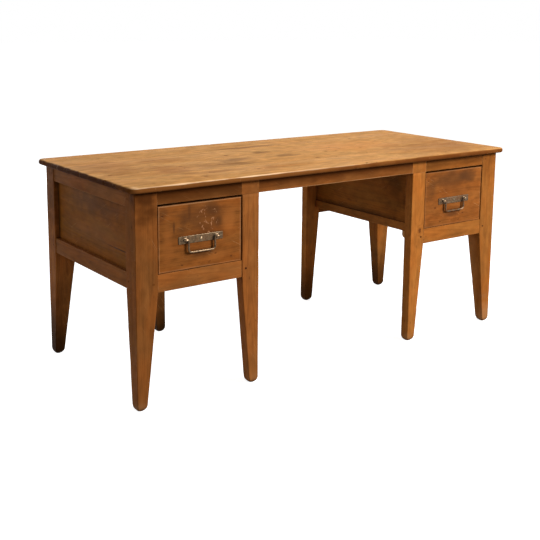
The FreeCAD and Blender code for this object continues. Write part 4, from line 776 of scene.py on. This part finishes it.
for side, sign in SIDES:
    name = f"{side}_drawer_front"
    low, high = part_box(name)
    middle_x, middle_z = (low.x + high.x) / 2, (low.z + high.z) / 2
    marks = [((x, DRAWER_FACE, z), (along, 0.02, up), dye, share)
             for x, z, along, up, dye, share in hand_marks[side]]
    # Lines along the front's edges: a pale top arris, part wear and part painted highlight; pale rubbed lines
    # along the bottom and ends; and a dark line at the bottom edge, part old wax and part painted shadow of
    # the gap.
    marks += [((x, DRAWER_FACE, z), (along, 0.01, up), dye, share) for x, z, along, up, dye, share in (
        (middle_x, high.z - 0.0012, 0.4, 0.003, EDGE_LIGHT, 0.45 * EDGE_WEAR_AND_HIGHLIGHT[side]),
        (middle_x, low.z + 0.0045, 0.4, 0.003, EDGE_LIGHT, 0.25 * EDGE_WEAR_AND_HIGHLIGHT[side]),
        (middle_x, low.z + 0.0005, 0.4, 0.0026, DARK_WAX_AND_SHADE, 0.95),
        (low.x + 0.0035, middle_z, 0.003, 0.25, EDGE_LIGHT, 0.25 * EDGE_WEAR_AND_HIGHLIGHT[side]),
        (high.x - 0.0035, middle_z, 0.003, 0.25, EDGE_LIGHT, 0.25 * EDGE_WEAR_AND_HIGHLIGHT[side]))]
    dress(name, pine(f"stained_{name}", "xzy", node_middle(name), DRAWER_LIGHT, DRAWER_DARK, marks,
                     drawer_knots[side], pith=0.06, ring_width=0.006, wear=0.5, dirt_and_shade=0.7, knocked=1.0,
                     blotches=0.34, edge_colour=EDGE_LIGHT, flaked=flaked_off.get(side)))
    for node, order in (("drawer_outer_side", "yzx"), ("drawer_inner_side", "yzx"), ("drawer_back", "xzy"),
                        ("drawer_bottom", "xyz")):
        name = f"{side}_{node}"
        dress(name, pine(f"bare_{name}", order, node_middle(name), *INSIDE_WOOD, gloss=INSIDE_GLOSS,
                         wear=0.2, dirt_and_shade=0.4, knocked=0.3))

# The handles: each an iron plate with two eyes, held by three screws, and a bail of round rod whose
# ends turn out into the eyes. Cast and forged iron, brown with age, its edges rubbed pale, with painted
# highlights where it stands out.
pitted, takes, gives = group("pitted_iron", [
    ("Place", "Vector", (0, 0, 0)), ("Rust", "Float", 0.5), ("Worn", "Float", 0.3)],
    [("Color", "Color"), ("Roughness", "Float"), ("Height", "Float")])
scale_skin = mottle(pitted, takes["Place"], 95, 4)
rust = times(pitted, span(pitted, mottle(pitted, takes["Place"], 60, 4), 0.42, 0.6), takes["Rust"])
toned = tint(pitted, span(pitted, scale_skin, 0.3, 0.7), srgb(66, 50, 33), srgb(92, 73, 51))
paler = times(pitted, span(pitted, mottle(pitted, takes["Place"], 120), 0.5, 0.62), takes["Worn"])
toned = tint(pitted, paler, toned, srgb(158, 136, 108))
pitted.links.new(tint(pitted, rust, toned, srgb(96, 60, 32)), gives["Color"])
rough = plus(pitted, span(pitted, scale_skin, 0.3, 0.7, 0.3, 0.42), times(pitted, rust, 0.3))
pitted.links.new(rough, gives["Roughness"])
pits = times(pitted, mottle(pitted, takes["Place"], 600), 0.5)
pitted.links.new(plus(pitted, scale_skin, pits), gives["Height"])

RUBBED_IRON_AND_HIGHLIGHT = srgb(172, 144, 112)
IRON_DIRT_AND_SHADE = srgb(30, 18, 10)


def iron(name, rust_share, rubbed_share, bumps, painted_highlights=(), worn=0.1):
    """Old iron, its edges rubbed pale and partly lit with painted highlight; the painted highlights are
    (centre, reach, share).
    """
    material, tree, surface = new_finish(name)
    place = add(tree, "TexCoord").outputs["Object"]
    metal = use(tree, pitted, {"Place": place, "Rust": rust_share, "Worn": worn})
    edge = use(tree, worn_edges, {"Place": place, "Width": 0.0016, "Amount": rubbed_share})["Mask"]
    # Old dust in the hollows, together with painted shade there, from ambient occlusion.
    dirt_and_shade_mask = use(tree, grime_and_shade, {"Place": place, "Reach": 0.008, "Amount": 0.8})["Mask"]
    # Edges paler, part wear and part painted highlight, then painted highlights at the listed spots.
    colour = tint(tree, edge, metal["Color"], RUBBED_IRON_AND_HIGHLIGHT)
    for centre, reach, amount in painted_highlights:
        mask = use(tree, mark, {"Place": place, "Centre": centre, "Reach": reach, "Ragged": 0.3})["Mask"]
        colour = tint(tree, times(tree, mask, amount), colour, RUBBED_IRON_AND_HIGHLIGHT)
    tree.links.new(tint(tree, dirt_and_shade_mask, colour, IRON_DIRT_AND_SHADE), surface.inputs["Base Color"])
    rough = minus(tree, metal["Roughness"], times(tree, edge, 0.12))
    tree.links.new(plus(tree, rough, times(tree, dirt_and_shade_mask, 0.3)), surface.inputs["Roughness"])
    tree.links.new(minus(tree, 0.85, times(tree, dirt_and_shade_mask, 0.6)), surface.inputs["Metallic"])
    bump = add(tree, "Bump", {"Strength": 0.5, "Distance": bumps, "Height": metal["Height"]})
    tree.links.new(bump.outputs[0], surface.inputs["Normal"])
    return material


PLATE_THICK = 0.0025
PLATE_EASE = 0.0008
PLATE_CORNER = 0.0022
PLATE_PROFILE = ((0.0, 0.0), (0.0, PLATE_THICK - PLATE_EASE),
                 (PLATE_EASE * 0.3, PLATE_THICK - PLATE_EASE * 0.3), (PLATE_EASE, PLATE_THICK))
ROD_RADIUS = 0.0035
ROD_STEPS = 16
EYE_SPACING = 0.124
EYE_STANDOFF = 0.0085
EYE_RADIUS = 0.006
EYE_HALF = 0.005
HALF_EYE = [(EYE_HALF - 0.0012, EYE_RADIUS), (EYE_HALF - 0.0004, EYE_RADIUS - 0.0004),
            (EYE_HALF, EYE_RADIUS - 0.0012), (EYE_HALF, ROD_RADIUS + 0.0002)]
EYE_RING = [(-along, reach) for along, reach in reversed(HALF_EYE)] + HALF_EYE
EYE_FOOT = ((-0.0004, 0.003, 0.003), (0.0006, 0.0018, 0.0016), (0.0014, 0.0006, 0.0002),
            (0.0021, -0.0002, -0.0009))
FOOT_CORNER = 0.0024
ARM_X = 0.0525
BAIL_DROP = 0.043
GRIP_BEND = 0.012
PIN_BEND = 0.004
PIN_REACH = 0.070
PIN_TIP_STEPS = (0.0002, 0.0005, 0.001, 0.0016)
ROD_PIECE = 0.003
SCREW_SPACING = 0.076
HEAD_RADIUS = 0.0045
HEAD_HEIGHT = 0.0026
HEAD_PROFILE = [(0, HEAD_RADIUS * 0.97), (0.0005, HEAD_RADIUS)] + [
    (0.0005 + (HEAD_HEIGHT - 0.0003) * math.sin(turn), HEAD_RADIUS * math.cos(turn))
    for turn in (math.pi / 2 * step / 6 for step in range(1, 6))]
X_AXIS, Y_AXIS, Z_AXIS = Vector((1, 0, 0)), Vector((0, 1, 0)), Vector((0, 0, 1))


def full_turn(steps):
    return [2 * math.pi * number / steps for number in range(steps)]


def lathe(shape, centre, axis, side, profile, steps):
    """Turns (along, radius) points round an axis, in a mesh being made; its rows, for the caller to join."""
    up = axis.cross(side)
    return [[shape.verts.new(centre + axis * along + (side * math.cos(turn) + up * math.sin(turn)) * reach)
             for turn in full_turn(steps)] for along, reach in profile]


def plate_shape(centre_x, centre_z, length, height, seed):
    """The plate, eased and uneven from the hammer, with a ring on a foot for each end of the bail."""
    def on_drawer(u, v, out):
        wave = 0.00025 * noise.noise(Vector((u * 55, v * 55, seed)))
        return Vector((centre_x + u, DRAWER_FACE - out + (wave if out > 0.001 else 0),
                       centre_z + v * (1 - abs(wave) * 20)))

    shape = slab(eased_outline(length, height, PLATE_CORNER, 0.004, 4), PLATE_PROFILE, on_drawer)
    for eye in (-1, 1):
        hub = Vector((centre_x + eye * EYE_SPACING / 2, DRAWER_FACE - EYE_STANDOFF, centre_z))
        ring = lathe(shape, hub, X_AXIS, Z_AXIS, EYE_RING, 24)
        skin(shape, ring, ends=False)
        wall(shape, ring[-1], ring[0], smooth=False)
        foot = []
        for out, more_u, more_v in EYE_FOOT:
            outline = eased_outline(2 * (EYE_HALF + more_u), 2 * (EYE_RADIUS + more_v), FOOT_CORNER, 1, 4)
            foot.append([shape.verts.new((hub.x + u, DRAWER_FACE - (PLATE_THICK + out), hub.z + v))
                         for u, v, out_u, out_v in outline])
        skin(shape, foot)
    return shape


def bail_path():
    """The middle line of the rod, from pin to pin, in steps fine enough for a smooth bend."""
    corners = [(Vector((x, 0, z)), bend) for x, z, bend in (
        (-PIN_REACH, 0, 0), (-ARM_X, 0, PIN_BEND), (-ARM_X, -BAIL_DROP, GRIP_BEND),
        (ARM_X, -BAIL_DROP, GRIP_BEND), (ARM_X, 0, PIN_BEND), (PIN_REACH, 0, 0))]
    line = [corners[0][0]]
    for (before, _), (here, bend), (after, _) in zip(corners, corners[1:], corners[2:]):
        back, on = (before - here).normalized(), (after - here).normalized()
        middle = here + (back + on) * bend
        for turn in (number / 8 * math.pi / 2 for number in range(9)):
            line.append(middle - on * bend * math.cos(turn) - back * bend * math.sin(turn))
    line.append(corners[-1][0])
    fine = [line[0]]
    for start, end in zip(line, line[1:]):
        count = max(1, round((end - start).length / ROD_PIECE))
        fine += [start.lerp(end, number / count) for number in range(1, count + 1)]
    first, *between, last = fine
    tips = [X_AXIS * step for step in PIN_TIP_STEPS]
    return [first, *[first + tip for tip in tips], *between, *[last - tip for tip in reversed(tips)], last]


def rod_shape(line, centre, seed):
    """A round rod along a line in the XZ plane, a hair uneven from the hammer, its ends domed."""
    shape = bmesh.new()
    rows = []
    for number, point in enumerate(line):
        along = (line[min(number + 1, len(line) - 1)] - line[max(number - 1, 0)]).normalized()
        out = Y_AXIS.cross(along)
        from_tip = min((point - line[0]).length, (point - line[-1]).length) / PIN_TIP_STEPS[-1]
        dome = 1 if from_tip >= 1 else 0.6 + 0.4 * math.sqrt(1 - (1 - from_tip) ** 2)
        reach = ROD_RADIUS * dome * (0.985 - 0.03 * max(0.0, noise.noise(point * 60 + X_AXIS * seed)))
        rows.append([shape.verts.new(centre + point + (out * math.cos(turn) + Y_AXIS * math.sin(turn)) * reach)
                     for turn in full_turn(ROD_STEPS)])
    skin(shape, rows)
    return shape


PLATE_LOOKS = {"left": {"rust_share": 0.25, "rubbed_share": 0.4, "worn": 0.08},
               "right": {"rust_share": 0.6, "rubbed_share": 0.12, "worn": 0.22}}
# Shares of the painted highlights: the plate's upper edge and its eyes, and the middle screw head.
PLATE_SHINE = {"left": (0.55, 0.9), "right": (0.25, 0.35)}
HEAD_SHINE = {"left": 0.9, "right": 0.2}
BAIL_RUST = {"left": 0.2, "right": 0.95}
for side, sign in SIDES:
    low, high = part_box(f"{side}_handle_plate")
    centre_x, centre_z = (low.x + high.x) / 2, (low.z + high.z) / 2
    plate_height = high.z - low.z
    face, eye_y = DRAWER_FACE - PLATE_THICK, DRAWER_FACE - EYE_STANDOFF
    edge_shine, eye_shine = PLATE_SHINE[side]
    # Painted highlights along the plate's upper edge and on top of the eyes.
    painted_highlights = [((centre_x + 0.01, face, centre_z + plate_height / 2), (0.12, 0.006, 0.0022), edge_shine)]
    painted_highlights += [((centre_x + eye * EYE_SPACING / 2 - 0.001, eye_y, centre_z + EYE_RADIUS * 0.6),
                (0.013, 0.012, 0.0055), eye_shine) for eye in (-1, 1)]
    plate = plate_shape(centre_x, centre_z, high.x - low.x, plate_height, sign)
    finish = iron(f"{side}_plate_iron", bumps=0.00016, painted_highlights=painted_highlights, **PLATE_LOOKS[side])
    piece(f"{side}_back_plate", plate, f"{side}_drawer", finish, f"{side}_handle_plate")

    heads = bmesh.new()
    for number in (-1, 0, 1):
        hub = Vector((centre_x + number * SCREW_SPACING, face + 0.0003, centre_z))
        skin(heads, lathe(heads, hub, -Y_AXIS, X_AXIS, HEAD_PROFILE, 20))
    # A painted highlight on the middle screw head.
    painted_highlights = [((centre_x, face, centre_z + 0.001), (0.008, 0.02, 0.008), HEAD_SHINE[side])]
    finish = iron(f"{side}_screw_iron", 0.3, 0.3, 0.0001, painted_highlights)
    piece(f"{side}_screw_heads", heads, f"{side}_drawer", finish, f"{side}_handle_screws")

    grip_z, grip_y = centre_z - BAIL_DROP, DRAWER_FACE - 0.009
    # Painted highlights on the bail: along the grip and at the eyes on the left, on one corner on the right.
    if side == "left":
        painted_highlights = [((centre_x, grip_y, grip_z + 0.0012), (0.085, 0.012, 0.0040), 0.42)]
        painted_highlights += [((centre_x + eye * 0.063, eye_y, centre_z + 0.002), (0.014, 0.01, 0.004), 0.8)
                   for eye in (-1, 1)]
    else:
        painted_highlights = [((centre_x + 0.042, grip_y, grip_z + 0.004), (0.014, 0.012, 0.006), 0.7)]
    rod = rod_shape(bail_path(), Vector((centre_x, eye_y, centre_z)), sign)
    finish = iron(f"{side}_bail_iron", BAIL_RUST[side], 0.15, 0.00015, painted_highlights)
    piece(f"{side}_bail_rod", rod, f"{side}_bail", finish, f"{side}_bail")
